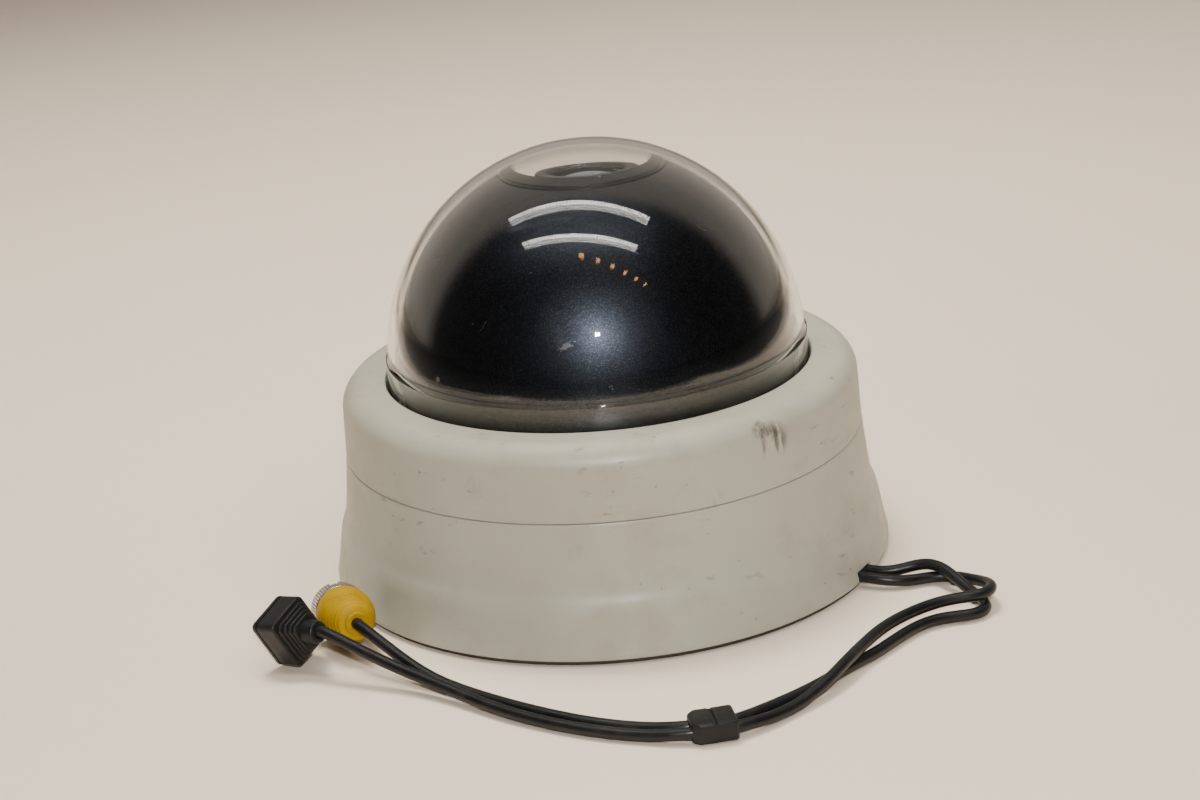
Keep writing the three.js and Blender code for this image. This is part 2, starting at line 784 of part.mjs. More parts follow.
function cordClip() {
  const outline = [[-5.4, -2.8], [-3.8, -4.3], [5.4, -4.3], [5.4, 4.3], [-3.8, 4.3], [-5.4, 2.8]];
  const bores = [-1, 1].map((side) => {
    const bore = layOnX(disc(CORD_RADIUS + GAP, -8, 8, 12));
    return moved(bore, 0, side * CLIP_BORE_OFFSET, CLIP_BORE_HEIGHT);
  });
  const body = raise(outline, 0.3, 5.4).subtract(wasm.Manifold.union(bores));
  return turned(body, CLIP_TURN).translate([...CLIP_CENTRE, 0]);
}

// The soft boot of the video connector, with rounded steps that grow towards the front.
function videoBoot() {
  return lathe([
    [0, BOOT_ENTRY],
    [CORD_RADIUS + GAP, BOOT_ENTRY],
    [CORD_RADIUS + GAP, 0],
    [2.9, 0],
    [3.1, 1.5],
    [4.2, 1.9],
    [4.4, 3.6],
    [5.3, 4.1],
    [5.6, 6.2],
    [6.3, 6.8],
    [6.6, 9],
    [6.9, 9.6],
    [7.1, 12.4],
    [7, 14.5],
    [5.3, 14.5],
    [5.3, 8],
    [0, 8],
  ], 18);
}

// The coupling ring of the video connector, open at the front, with its neck held in the
// boot. Two bayonet slots are cut in its front edge.
function videoCoupling() {
  const shell = lathe([
    [3.3, 9],
    [5, 9],
    [5, 14.8],
    [6.8, 14.8],
    [7.1, 15.2],
    [7.1, 19.4],
    [6.8, 19.8],
    [4.9, 19.8],
    [4.9, 14],
    [3.3, 14],
  ], 18);
  const bayonetSlot = box(3, 9, -1.1, 1.1, 17.6, 21);
  return shell.subtract(bayonetSlot).subtract(turned(bayonetSlot, 180));
}

function videoInsulator() {
  return ring(1.1, 3, 8.3, 17.4, 12);
}

function videoPin() {
  return lathe([[0, 8.3], [0.8, 8.3], [0.8, 17.8], [0.4, 18.8], [0, 18.9]], 8);
}

// The two-way power plug: a square block with stepped ribs behind it.
function powerPlug() {
  const ribs = [
    [13.2, 11.6, 1.8, 9.6, 16],
    [12.2, 10.6, 1.8, 7.8, 9.8],
    [10.8, 9.4, 1.8, 6, 8],
    [9.2, 8.2, 1.8, 4.2, 6.2],
  ];
  let body = disc(3.5, 0, 4.4, 12).add(raise(roundedRectangle(13.9, 12.3, 2, 2), 9.6, 11.4));
  for (const [width, height, radius, from, to] of ribs) {
    body = body.add(raise(roundedRectangle(width, height, radius, 2), from, to));
  }
  body = body.subtract(disc(CORD_RADIUS + GAP, -1, PLUG_ENTRY, 12));
  for (const x of [-3, 3]) {
    body = body.subtract(moved(disc(1.5, 8, 17, 10), x, 0, 0));
  }
  return body;
}

function powerContact(x) {
  return moved(ring(0.6, 1.2, 8.3, 15.4, 8), x, 0, 0);
}

root.add(piece('video_cord', cord(VIDEO_PATH), BLACK_RUBBER));
root.add(piece('power_cord', cord(POWER_PATH), BLACK_RUBBER));
root.add(piece('cord_clip', cordClip(), BLACK_MATTE));
root.add(piece('video_boot', layAlong(videoBoot(), BOOT), YELLOW));
root.add(piece('video_coupling', layAlong(videoCoupling(), BOOT), NICKEL));
root.add(piece('video_insulator', layAlong(videoInsulator(), BOOT), CREAM));
root.add(piece('video_pin', layAlong(videoPin(), BOOT), GOLD));
root.add(piece('power_plug', layAlong(powerPlug(), PLUG), BLACK_MATTE));
root.add(piece('power_contact_left', layAlong(powerContact(-3), PLUG), GOLD));
root.add(piece('power_contact_right', layAlong(powerContact(3), PLUG), GOLD));

export default root;
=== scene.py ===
"""Dome security camera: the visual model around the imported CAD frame."""
import math

import bmesh
import bpy
from mathutils import Matrix, Vector


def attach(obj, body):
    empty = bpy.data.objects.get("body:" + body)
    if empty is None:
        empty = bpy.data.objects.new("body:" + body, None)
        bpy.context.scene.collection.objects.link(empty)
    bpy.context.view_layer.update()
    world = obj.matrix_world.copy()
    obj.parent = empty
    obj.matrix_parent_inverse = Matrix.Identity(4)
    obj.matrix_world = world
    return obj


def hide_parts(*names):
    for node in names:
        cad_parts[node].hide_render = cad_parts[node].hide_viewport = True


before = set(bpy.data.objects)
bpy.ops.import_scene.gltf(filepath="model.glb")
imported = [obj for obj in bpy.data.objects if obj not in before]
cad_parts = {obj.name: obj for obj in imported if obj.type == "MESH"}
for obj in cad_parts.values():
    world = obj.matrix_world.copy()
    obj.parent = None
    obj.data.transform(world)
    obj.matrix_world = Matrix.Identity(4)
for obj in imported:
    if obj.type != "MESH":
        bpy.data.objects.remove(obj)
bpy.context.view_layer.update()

# ---- dimensions, millimetres

MM = 0.001
SIDES = 180  # sides of the large round pieces
SHARP_ANGLE = math.radians(38)

DOME_CENTRE = 57.55  # height of the centre of both domes
LENS_OFFSET = 1.2  # of the lens to the right of the middle
LENS_LEAN = 4.0  # of the lens towards the back, in degrees
CABLE_ANGLE = -31.0  # where the cords leave the base
CORD_DIAMETER = 2.9
CORD_HEIGHT_IN_GROMMET = 2.65
CORD_SPREAD = 2.3  # of each cord in the grommet from the middle
SLOT_HALF = 18.0  # half the width of the lens slot
SLOT_END = 60.0  # height of its lower end

# The frame of the lens: its origin in the domes' centre and Z along the optical axis.
HEAD = (
    Matrix.Translation(Vector((LENS_OFFSET, 0, DOME_CENTRE)) * MM)
    @ Matrix.Rotation(math.radians(-LENS_LEAN), 4, "X")
)

# ---- camera

CAMERA_PLACE = Vector((-0.3, -581.2, 245.5)) * MM
CAMERA_FORWARD = Vector((0, 0.944, -0.330)).normalized()
CAMERA_ROLL = math.radians(4.74)


def linked(name, data):
    """A new object of this data in the scene."""
    made = bpy.data.objects.new(name, data)
    bpy.context.scene.collection.objects.link(made)
    return made


def make_camera():
    """The camera, rolled about its axis by a few degrees."""
    level = CAMERA_FORWARD.cross(Vector((0, 0, 1))).normalized()
    top = level.cross(CAMERA_FORWARD)
    right = level * math.cos(CAMERA_ROLL) - top * math.sin(CAMERA_ROLL)
    up = top * math.cos(CAMERA_ROLL) + level * math.sin(CAMERA_ROLL)
    data = bpy.data.cameras.new("camera")
    data.lens = 68.88
    data.sensor_width = 36
    data.sensor_fit = "HORIZONTAL"
    data.clip_start = 0.02
    data.clip_end = 50
    camera = linked("camera", data)
    turn = Matrix((right, up, -CAMERA_FORWARD)).transposed().to_4x4()
    camera.matrix_world = Matrix.Translation(CAMERA_PLACE) @ turn
    bpy.context.scene.camera = camera


make_camera()

# ---- mesh helpers


def shade(mesh, angle=SHARP_ANGLE):
    for polygon in mesh.polygons:
        polygon.use_smooth = True
    mesh.set_sharp_from_angle(angle=angle)


def finish_mesh(bm):
    bmesh.ops.recalc_face_normals(bm, faces=bm.faces)
    mesh = bpy.data.meshes.new("shape")
    bm.to_mesh(mesh)
    bm.free()
    shade(mesh)
    return mesh


def rounded(points, steps=4):
    """Corners given as (radius, height, fillet) become short arcs."""
    result = []
    count = len(points)
    for i, point in enumerate(points):
        if len(point) < 3:
            result.append((point[0], point[1]))
            continue
        corner = Vector(point[:2])
        before = Vector(points[i - 1][:2]) - corner
        after = Vector(points[(i + 1) % count][:2]) - corner
        reach = min(point[2], before.length * 0.49, after.length * 0.49)
        start = corner + before.normalized() * reach
        end = corner + after.normalized() * reach
        for k in range(steps + 1):
            t = k / steps
            p = start * (1 - t) ** 2 + corner * 2 * t * (1 - t) + end * t ** 2
            result.append((p.x, p.y))
    return result


def arc(centre_height, radius, start, end, steps):
    points = []
    for i in range(steps + 1):
        angle = math.radians(start + (end - start) * i / steps)
        x = radius * math.cos(angle)
        points.append((0.0 if abs(x) < 1e-6 else x, centre_height + radius * math.sin(angle)))
    return points


def revolve(profile, sides=SIDES, ripple=None):
    """A body of revolution about Z. ripple(angle, radius, height) gives the radius to use."""
    bm = bmesh.new()
    rings = []
    for radius, height in profile:
        if radius < 1e-6:
            rings.append([bm.verts.new((0, 0, height * MM))])
            continue
        ring = []
        for i in range(sides):
            angle = 2 * math.pi * i / sides
            r = (ripple(angle, radius, height) if ripple else radius) * MM
            ring.append(bm.verts.new((r * math.cos(angle), r * math.sin(angle), height * MM)))
        rings.append(ring)
    on_axis = len(rings[0]) == 1 and len(rings[-1]) == 1
    last = len(rings) - 1 if on_axis else len(rings)
    for k in range(last):
        a, b = rings[k], rings[(k + 1) % len(rings)]
        for i in range(sides):
            j = (i + 1) % sides
            corners = [a[i % len(a)], a[j % len(a)], b[j % len(b)], b[i % len(b)]]
            unique = list(dict.fromkeys(corners))
            if len(unique) > 2:
                bm.faces.new(unique)
    return finish_mesh(bm)


def prism(outline, bottom, top):
    """An outline in the XY plane raised from bottom to top."""
    bm = bmesh.new()
    low = [bm.verts.new((x * MM, y * MM, bottom * MM)) for x, y in outline]
    high = [bm.verts.new((x * MM, y * MM, top * MM)) for x, y in outline]
    bm.faces.new(low[::-1])
    bm.faces.new(high)
    count = len(outline)
    for i in range(count):
        j = (i + 1) % count
        bm.faces.new([low[i], low[j], high[j], high[i]])
    return finish_mesh(bm)


def rectangle(left, right, half):
    return [(left, -half), (right, -half), (right, half), (left, half)]


def rounded_rectangle(width, height, radius, steps=6):
    outline = []
    for sx, sy, start in ((1, -1, -90), (1, 1, 0), (-1, 1, 90), (-1, -1, 180)):
        for i in range(steps + 1):
            angle = math.radians(start + 90 * i / steps)
            outline.append((
                sx * (width / 2 - radius) + radius * math.cos(angle),
                sy * (height / 2 - radius) + radius * math.sin(angle),
            ))
    return outline


def cylinder(radius, bottom, top, sides=48):
    return revolve([(0, bottom), (radius, bottom), (radius, top), (0, top)], sides)


def turn_z(degrees):
    return Matrix.Rotation(math.radians(degrees), 4, "Z")


def shift(x, y, z):
    return Matrix.Translation(Vector((x, y, z)) * MM)


def placed(mesh, matrix):
    mesh.transform(matrix)
    return mesh


def polar(radius, degrees):
    angle = math.radians(degrees)
    return radius * math.cos(angle), radius * math.sin(angle)


def modified(mesh, kind, **settings):
    """The mesh as a modifier makes it."""
    holder = linked("holder", mesh)
    modifier = holder.modifiers.new("change", kind)
    for key, value in settings.items():
        setattr(modifier, key, value)
    depsgraph = bpy.context.evaluated_depsgraph_get()
    result = bpy.data.meshes.new_from_object(holder.evaluated_get(depsgraph))
    bpy.data.objects.remove(holder)
    shade(result)
    return result


def boolean(mesh, tool, operation):
    """Joins, cuts or intersects two meshes."""
    other = linked("tool", tool)
    result = modified(mesh, "BOOLEAN", operation=operation, solver="MANIFOLD", object=other)
    bpy.data.objects.remove(other)
    return result


def union(mesh, *tools):
    for tool in tools:
        mesh = boolean(mesh, tool, "UNION")
    return mesh


def cut(mesh, *tools):
    for tool in tools:
        mesh = boolean(mesh, tool, "DIFFERENCE")
    return mesh


def drilled(mesh, places, radius, bottom, top, sides=32):
    """Bores holes along Z at these places."""
    for x, y in places:
        mesh = cut(mesh, placed(cylinder(radius, bottom, top, sides), shift(x, y, 0)))
    return mesh


def on_circle(radius, angles):
    return [polar(radius, angle) for angle in angles]


def bevel(mesh, width, segments=3):
    """Rounds the sharp edges of a mesh."""
    return modified(
        mesh, "BEVEL", width=width * MM, segments=segments, limit_method="ANGLE",
        angle_limit=math.radians(30),
    )


# ---- materials


class Nodes:
    """A material's node tree with short calls for the nodes it needs."""

    def __init__(self, name):
        self.material = bpy.data.materials.new(name)
        self.material.use_nodes = True
        self.tree = self.material.node_tree
        self.shader = self.tree.nodes["Principled BSDF"]
        place = self.tree.nodes.new("ShaderNodeTexCoord")
        self.place = place.outputs["Object"]

    def link(self, source, target):
        self.tree.links.new(source, target)

    def new(self, kind, **settings):
        node = self.tree.nodes.new(kind)
        for key, value in settings.items():
            setattr(node, key, value)
        return node

    def noise(self, scale, detail=3.0, roughness=0.55, stretch=None):
        node = self.new("ShaderNodeTexNoise")
        node.inputs["Scale"].default_value = scale
        node.inputs["Detail"].default_value = detail
        node.inputs["Roughness"].default_value = roughness
        source = self.place
        if stretch:
            mapping = self.new("ShaderNodeMapping")
            mapping.inputs["Scale"].default_value = stretch
            self.link(self.place, mapping.inputs["Vector"])
            source = mapping.outputs["Vector"]
        self.link(source, node.inputs["Vector"])
        return node.outputs["Fac"]

    def voronoi(self, scale, output="Distance", feature="F1"):
        node = self.new("ShaderNodeTexVoronoi", feature=feature)
        node.inputs["Scale"].default_value = scale
        self.link(self.place, node.inputs["Vector"])
        return node.outputs[output]

    def ramp(self, factor, stops):
        node = self.new("ShaderNodeValToRGB")
        elements = node.color_ramp.elements
        while len(elements) < len(stops):
            elements.new(0.5)
        for element, (position, color) in zip(elements, stops):
            element.position = position
            element.color = (*color, 1.0)
        self.link(factor, node.inputs["Fac"])
        return node.outputs["Color"]

    def band(self, factor, low, high, out_low=0.0, out_high=1.0):
        node = self.new("ShaderNodeMapRange", clamp=True)
        node.inputs["From Min"].default_value = low
        node.inputs["From Max"].default_value = high
        node.inputs["To Min"].default_value = out_low
        node.inputs["To Max"].default_value = out_high
        self.link(factor, node.inputs["Value"])
        return node.outputs["Result"]

    def math(self, operation, a, b):
        node = self.new("ShaderNodeMath", operation=operation)
        for socket, value in zip(node.inputs, (a, b)):
            if isinstance(value, (int, float)):
                socket.default_value = value
            else:
                self.link(value, socket)
        return node.outputs["Value"]

    def mix(self, factor, a, b):
        node = self.new("ShaderNodeMix", data_type="RGBA")
        for name, value in (("Factor", factor), ("A", a), ("B", b)):
            sockets = [s for s in node.inputs if s.name == name and s.enabled]
            if isinstance(value, tuple):
                sockets[0].default_value = (*value, 1.0)
            elif isinstance(value, (int, float)):
                sockets[0].default_value = value
            else:
                self.link(value, sockets[0])
        return [s for s in node.outputs if s.enabled][0]

    def bump(self, height, strength, distance, into="Normal"):
        node = self.new("ShaderNodeBump")
        node.inputs["Strength"].default_value = strength
        node.inputs["Distance"].default_value = distance * MM
        self.link(height, node.inputs["Height"])
        self.link(node.outputs["Normal"], self.shader.inputs[into])

    def color(self, source):
        self.link(source, self.shader.inputs["Base Color"])

    def rough(self, factor, low, high, start=0.3, end=0.7):
        self.link(self.band(factor, start, end, low, high), self.shader.inputs["Roughness"])

    def set(self, **values):
        for key, value in values.items():
            socket = self.shader.inputs[key.replace("_", " ")]
            socket.default_value = (*value, 1.0) if isinstance(value, tuple) else value


def axis_distance(n):
    """Distance from the object's Z axis."""
    split = n.new("ShaderNodeSeparateXYZ")
    n.link(n.place, split.inputs["Vector"])
    squares = [n.math("MULTIPLY", split.outputs[axis], split.outputs[axis]) for axis in "XY"]
    return n.math("SQRT", n.math("ADD", *squares), 0.5)


RUB_MARKS = (
  # the centre of each rub mark in millimetres, its radius and its strength
    ((40.5, -53.5, 47.0), 5.5, 1.0),
    ((38.0, -56.0, 50.5), 3.0, 0.9),
    ((-33.0, -60.0, 44.0), 4.0, 0.15),
    ((26.0, -63.5, 37.0), 3.0, 0.4),
    ((-9.0, -70.0, 28.0), 3.0, 0.15),
    ((33.0, 58.0, 46.0), 5.0, 0.5),
    ((-62.0, 28.0, 40.0), 4.0, 0.3),
    ((65.0, 20.0, 44.0), 4.0, 0.3),
)


def rub_marks(n):
    """Dark upright streaks in a few small places."""
    streaks = n.band(n.noise(340.0, 4.0, 0.65, stretch=(1.0, 1.0, 0.22)), 0.46, 0.58)
    total = None
    for centre, radius, strength in RUB_MARKS:
        far = n.new("ShaderNodeVectorMath", operation="DISTANCE")
        far.inputs[1].default_value = Vector(centre) * MM
        n.link(n.place, far.inputs[0])
        mask = n.band(far.outputs["Value"], radius * 0.55 * MM, radius * MM, strength, 0.0)
        total = mask if total is None else n.math("MAXIMUM", total, mask)
    return n.math("MULTIPLY", streaks, total)


def ivory_plastic():
    """Old ivory moulded plastic: fine satin grain, grime in places, light scuffs."""
    n = Nodes("ivory_plastic")
    broad = n.noise(14.0, 4.0, 0.6)
    base = n.ramp(broad, [
        (0.3, (0.300, 0.290, 0.228)), (0.55, (0.345, 0.338, 0.274)), (0.8, (0.372, 0.366, 0.302)),
    ])
    grime = n.band(n.noise(48.0, 6.0, 0.65), 0.50, 0.72)
    soiled = n.mix(n.math("MULTIPLY", grime, 0.45), base, (0.24, 0.205, 0.14))
    streaks = n.band(n.noise(120.0, 6.0, 0.65, stretch=(1.0, 1.0, 3.0)), 0.62, 0.68)
    patches = n.band(n.noise(30.0, 2.0, 0.5), 0.53, 0.61)
    scuffs = n.math("MULTIPLY", n.math("MULTIPLY", streaks, patches), 0.6)
    rubbed = n.mix(n.math("MAXIMUM", scuffs, rub_marks(n)), soiled, (0.085, 0.072, 0.055))
    specks = n.band(n.voronoi(190.0), 0.0, 0.09, 1.0, 0.0)
    thin = n.band(n.noise(46.0, 1.0), 0.53, 0.58)
    dots = n.math("MULTIPLY", n.math("MULTIPLY", specks, thin), 0.9)
    n.color(n.mix(dots, rubbed, (0.07, 0.06, 0.048)))
    n.rough(n.noise(150.0, 4.0), 0.34, 0.48)
    grain = n.math("ADD", n.math("MULTIPLY", n.noise(2600.0, 2.0), 1.0),
                   n.math("MULTIPLY", n.noise(700.0, 3.0), 0.8))
    n.bump(grain, 0.22, 0.05)
    n.set(Specular_IOR_Level=0.5)
    return n.material


def black_pearl():
    """Polished black plastic with fine metal flakes under a clear surface."""
    n = Nodes("black_pearl")
    flake = n.voronoi(4600.0, "Color")
    split = n.new("ShaderNodeSeparateColor")
    n.link(flake, split.inputs["Color"])
    glint = n.band(split.outputs["Red"], 0.55, 1.0)
    n.color(n.mix(glint, (0.010, 0.011, 0.014), (0.028, 0.034, 0.043)))
    n.rough(split.outputs["Green"], 0.30, 0.37, start=0.0, end=1.0)
    n.bump(split.outputs["Blue"], 0.02, 0.02)
    n.bump(n.noise(60.0, 5.0, 0.6), 0.004, 0.05, into="Coat Normal")
    n.set(Metallic=1.0, Coat_Weight=1.0, Coat_Roughness=0.01, Coat_IOR=1.34)
    return n.material


def clear_plastic():
    """Clear polycarbonate with hairline scratches, small chips and a little haze."""
    n = Nodes("clear_plastic")
    scratch = n.band(n.noise(70.0, 6.0, 0.7, stretch=(1.0, 6.0, 1.4)), 0.66, 0.70)
    patch = n.band(n.noise(22.0, 2.0), 0.52, 0.60)
    chips = n.band(n.voronoi(75.0), 0.0, 0.09, 1.0, 0.0)
    sparse = n.band(n.noise(38.0, 1.0), 0.60, 0.63)
    scratches = n.math("MULTIPLY", scratch, patch)
    marks = n.math("MAXIMUM", scratches, n.math("MULTIPLY", chips, sparse))
    haze = n.band(n.noise(18.0, 4.0), 0.35, 0.75, 0.0, 0.04)
    n.rough(n.math("ADD", marks, haze), 0.008, 0.6, start=0.0, end=1.0)
    n.color(n.mix(marks, (0.985, 0.985, 0.98), (0.75, 0.75, 0.74)))
    n.set(Transmission_Weight=1.0, IOR=1.41)
    return n.material


def black_plastic():
    n = Nodes("black_plastic")
    stops = [(0.3, (0.005, 0.005, 0.0055)), (0.75, (0.010, 0.010, 0.0105))]
    n.color(n.ramp(n.noise(120.0, 4.0), stops))
    n.rough(n.noise(400.0, 3.0), 0.36, 0.52)
    n.bump(n.noise(1800.0, 3.0), 0.25, 0.04)
    n.set(Specular_IOR_Level=0.28)
    return n.material


def black_steel():
    n = Nodes("black_steel")
    chips = n.band(n.noise(160.0, 6.0, 0.7), 0.70, 0.74)
    n.color(n.mix(n.math("MULTIPLY", chips, 0.5), (0.018, 0.016, 0.014), (0.16, 0.15, 0.14)))
    n.rough(n.noise(300.0), 0.38, 0.6)
    n.bump(n.noise(900.0, 4.0), 0.2, 0.05)
    return n.material


def black_rubber():
    n = Nodes("black_rubber")
    stops = [(0.3, (0.013, 0.012, 0.011)), (0.8, (0.032, 0.030, 0.027))]
    n.color(n.ramp(n.noise(150.0, 5.0), stops))
    n.rough(n.noise(500.0), 0.55, 0.75)
    n.bump(n.noise(1500.0, 4.0), 0.3, 0.06)
    return n.material


def cord_jacket():
    """Soft black jacket with dust and small dents."""
    n = Nodes("cord_jacket")
    dust = n.band(n.noise(95.0, 6.0, 0.7), 0.58, 0.78)
    stops = [(0.3, (0.004, 0.004, 0.0045)), (0.8, (0.009, 0.009, 0.0095))]
    base = n.ramp(n.noise(60.0, 3.0), stops)
    n.color(n.mix(n.math("MULTIPLY", dust, 0.22), base, (0.09, 0.083, 0.072)))
    n.rough(n.noise(240.0, 4.0), 0.30, 0.46)
    n.bump(n.noise(420.0, 4.0), 0.18, 0.08)
    n.set(Specular_IOR_Level=0.32)
    return n.material


def yellow_plastic():
    """Soft yellow moulding, faintly mottled and soiled."""
    n = Nodes("yellow_plastic")
    base = n.ramp(n.noise(170.0, 4.0), [
        (0.3, (0.27, 0.155, 0.0)), (0.55, (0.33, 0.196, 0.0)), (0.8, (0.38, 0.235, 0.001)),
    ])
    soil = n.band(n.noise(260.0, 6.0, 0.7), 0.62, 0.80)
    n.color(n.mix(n.math("MULTIPLY", soil, 0.4), base, (0.22, 0.11, 0.004)))
    n.rough(n.noise(500.0), 0.42, 0.56)
    n.bump(n.noise(1400.0, 3.0), 0.2, 0.04)
    n.set(Specular_IOR_Level=0.12)
    return n.material


def metal(name, color, dark, roughness):
    n = Nodes(name)
    n.color(n.mix(n.band(n.noise(320.0, 5.0), 0.5, 0.75), color, dark))
    fine = n.noise(1600.0, 3.0, 0.6)
    n.rough(fine, roughness * 0.8, roughness * 1.4)
    n.bump(fine, 0.12, 0.02)
    n.set(Metallic=1.0)
    return n.material


def board_green():
    """Circuit board: solder mask with faint tracks."""
    n = Nodes("board_green")
    brick = n.new("ShaderNodeTexBrick")
    brick.inputs["Scale"].default_value = 160.0
    brick.inputs["Mortar Size"].default_value = 0.03
    brick.inputs["Color1"].default_value = (0.012, 0.11, 0.035, 1)
    brick.inputs["Color2"].default_value = (0.014, 0.13, 0.045, 1)
    brick.inputs["Mortar"].default_value = (0.03, 0.21, 0.08, 1)
    n.link(n.place, brick.inputs["Vector"])
    n.color(brick.outputs["Color"])
    n.rough(n.noise(300.0), 0.25, 0.4)
    n.bump(brick.outputs["Fac"], 0.3, 0.05)
    return n.material


def cream_plastic():
    n = Nodes("cream_plastic")
    n.color(n.ramp(n.noise(120.0, 4.0), [(0.3, (0.55, 0.50, 0.38)), (0.8, (0.68, 0.64, 0.52))]))
    n.rough(n.noise(400.0), 0.35, 0.5)
    n.bump(n.noise(1500.0), 0.15, 0.04)
    return n.material


def lens_glass():
    """Coated lens: dark, with a blue-violet sheen and a painted reflection that lightens its middle
    slightly.
    """
    n = Nodes("lens_glass")
    # Painted reflection: the base colour is lighter towards the optical axis and mottled there.
    middle = n.band(axis_distance(n), 2.0 * MM, 8.5 * MM, 1.0, 0.0)
    mottled = n.math("MULTIPLY", middle, n.band(n.noise(160.0), 0.2, 0.8, 0.8, 1.0))
    n.color(n.mix(mottled, (0.020, 0.021, 0.025), (0.085, 0.09, 0.105)))
    n.rough(n.noise(200.0), 0.10, 0.22)
    n.set(Coat_Weight=1.0, Coat_Roughness=0.03, Coat_Tint=(0.72, 0.78, 1.0))
    return n.material


MATERIALS = {
    "ivory_plastic": ivory_plastic(),
    "black_plastic": black_plastic(),
    "black_gloss": black_pearl(),
    "clear_plastic": clear_plastic(),
    "black_steel": black_steel(),
    "black_rubber": black_rubber(),
    "cord_jacket": cord_jacket(),
    "steel": metal("steel", (0.60, 0.59, 0.57), (0.42, 0.41, 0.39), 0.28),
    "nickel": metal("nickel", (0.56, 0.53, 0.46), (0.36, 0.33, 0.28), 0.22),
    "gold": metal("gold", (0.80, 0.58, 0.22), (0.55, 0.38, 0.14), 0.25),
    "yellow_plastic": yellow_plastic(),
    "board_green": board_green(),
    "cream_plastic": cream_plastic(),
    "lens_glass": lens_glass(),
}


def make_piece(name, data, body, slot, node):
    """A mesh or curve that rides on a body, stands in for a CAD node and has its slot's material."""
    piece = linked(name, data)
    data.name = name
    data.materials.clear()
    data.materials.append(MATERIALS[slot])
    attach(piece, body)
    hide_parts(node)
    return piece


# ---- cords, in millimetres


def smooth_line(points, steps=8):
    """A centripetal Catmull-Rom curve through the points."""
    knots = [Vector(p) for p in points]
    knots = [knots[0] * 2 - knots[1]] + knots + [knots[-1] * 2 - knots[-2]]
    line = []
    for i in range(1, len(knots) - 2):
        p0, p1, p2, p3 = knots[i - 1:i + 3]
        t0 = 0.0
        t1 = t0 + max((p1 - p0).length, 1e-6) ** 0.5
        t2 = t1 + max((p2 - p1).length, 1e-6) ** 0.5
        t3 = t2 + max((p3 - p2).length, 1e-6) ** 0.5
        for k in range(steps):
            t = t1 + (t2 - t1) * k / steps
            a1 = p0 * ((t1 - t) / (t1 - t0)) + p1 * ((t - t0) / (t1 - t0))
            a2 = p1 * ((t2 - t) / (t2 - t1)) + p2 * ((t - t1) / (t2 - t1))
            a3 = p2 * ((t3 - t) / (t3 - t2)) + p3 * ((t - t2) / (t3 - t2))
            b1 = a1 * ((t2 - t) / (t2 - t0)) + a2 * ((t - t0) / (t2 - t0))
            b2 = a2 * ((t3 - t) / (t3 - t1)) + a3 * ((t - t1) / (t3 - t1))
            line.append(b1 * ((t2 - t) / (t2 - t1)) + b2 * ((t - t1) / (t2 - t1)))
    line.append(knots[-2])
    return line


def even_line(points, gap=1.2):
    """The smooth curve again with its points an equal distance apart."""
    fine = smooth_line(points, 16)
    result = [fine[0]]
    travelled = 0.0
    for a, b in zip(fine, fine[1:]):
        length = (b - a).length
        while travelled + length >= gap:
            a = a + (b - a) * ((gap - travelled) / length)
            length = (b - a).length
            travelled = 0.0
            result.append(a)
        travelled += length
    if (result[-1] - fine[-1]).length > gap * 0.4:
        result.append(fine[-1])
    else:
        result[-1] = fine[-1]
    return result


def relaxed(line, rounds, ends=6):
    """Evens out small kinks, leaving both ends and the stretch in the clip alone."""
    clip = Vector((*CLIP_CENTRE, CLIP_BORE_HEIGHT))
    held = [
        i < ends or i >= len(line) - ends or (p - clip).length < 6.5
        for i, p in enumerate(line)
    ]
    for _ in range(rounds):
        line = [
            p if held[i] else (line[i - 1] + p * 2 + line[i + 1]) / 4
            for i, p in enumerate(line)
        ]
    return line


def tube_curve(name, line, diameter):
    """A round tube along the line, as a curve."""
    data = bpy.data.curves.new(name, "CURVE")
    data.dimensions = "3D"
    data.bevel_depth = diameter / 2 * MM
    data.bevel_resolution = 6
    data.use_fill_caps = True
    spline = data.splines.new("POLY")
    spline.points.add(len(line) - 1)
    for point, place in zip(spline.points, line):
        point.co = (*(place * MM), 1.0)
    spline.use_smooth = True
    return data


GROMMET_STATIONS = (
  # distance from the middle and height of the cord, from the inside outwards
    (56.5, 4.8),
    (62.4, CORD_HEIGHT_IN_GROMMET),
    (71.0, CORD_HEIGHT_IN_GROMMET),
    (80.2, CORD_HEIGHT_IN_GROMMET),
)


def through_grommet(side):
    points = []
    for radius, height in GROMMET_STATIONS:
        x, y = polar(radius, CABLE_ANGLE)
        sx, sy = polar(side, CABLE_ANGLE + 90)
        points.append((x + sx, y + sy, height))
    return points


CLIP_CENTRE = (19.0, -115.6)
CLIP_TURN = 8.0  # degrees about Z
CLIP_BORE_HEIGHT = 2.5
CLIP_BORE_OFFSET = 1.65  # of each bore from the clip's middle


def through_clip(side):
    points = []
    for distance in (6.8, 3.6, -3.6, -6.8):
        ax, ay = polar(distance, CLIP_TURN)
        sx, sy = polar(side * CLIP_BORE_OFFSET, CLIP_TURN + 90)
        points.append((CLIP_CENTRE[0] + ax + sx, CLIP_CENTRE[1] + ay + sy, CLIP_BORE_HEIGHT))
    return points


def connector_frame(rear, heading, dip, roll):
    """A connector is drawn along +Z with the cord entering at 0, then laid down."""
    return (
        shift(*rear)
        @ turn_z(heading)
        @ Matrix.Rotation(math.radians(90 + dip), 4, "Y")
        @ turn_z(roll)
    )


# Where the cord enters each connector, its heading, dip and roll in degrees.
BOOT = connector_frame((-64.6, -61.5, 10.5), 111, 9.5, 0)
PLUG = connector_frame((-73.6, -66.8, 11.6), 137, 12, -23)


def on_connector(frame_matrix, distance):
    return tuple((frame_matrix @ Vector((0, 0, distance * MM))) / MM)


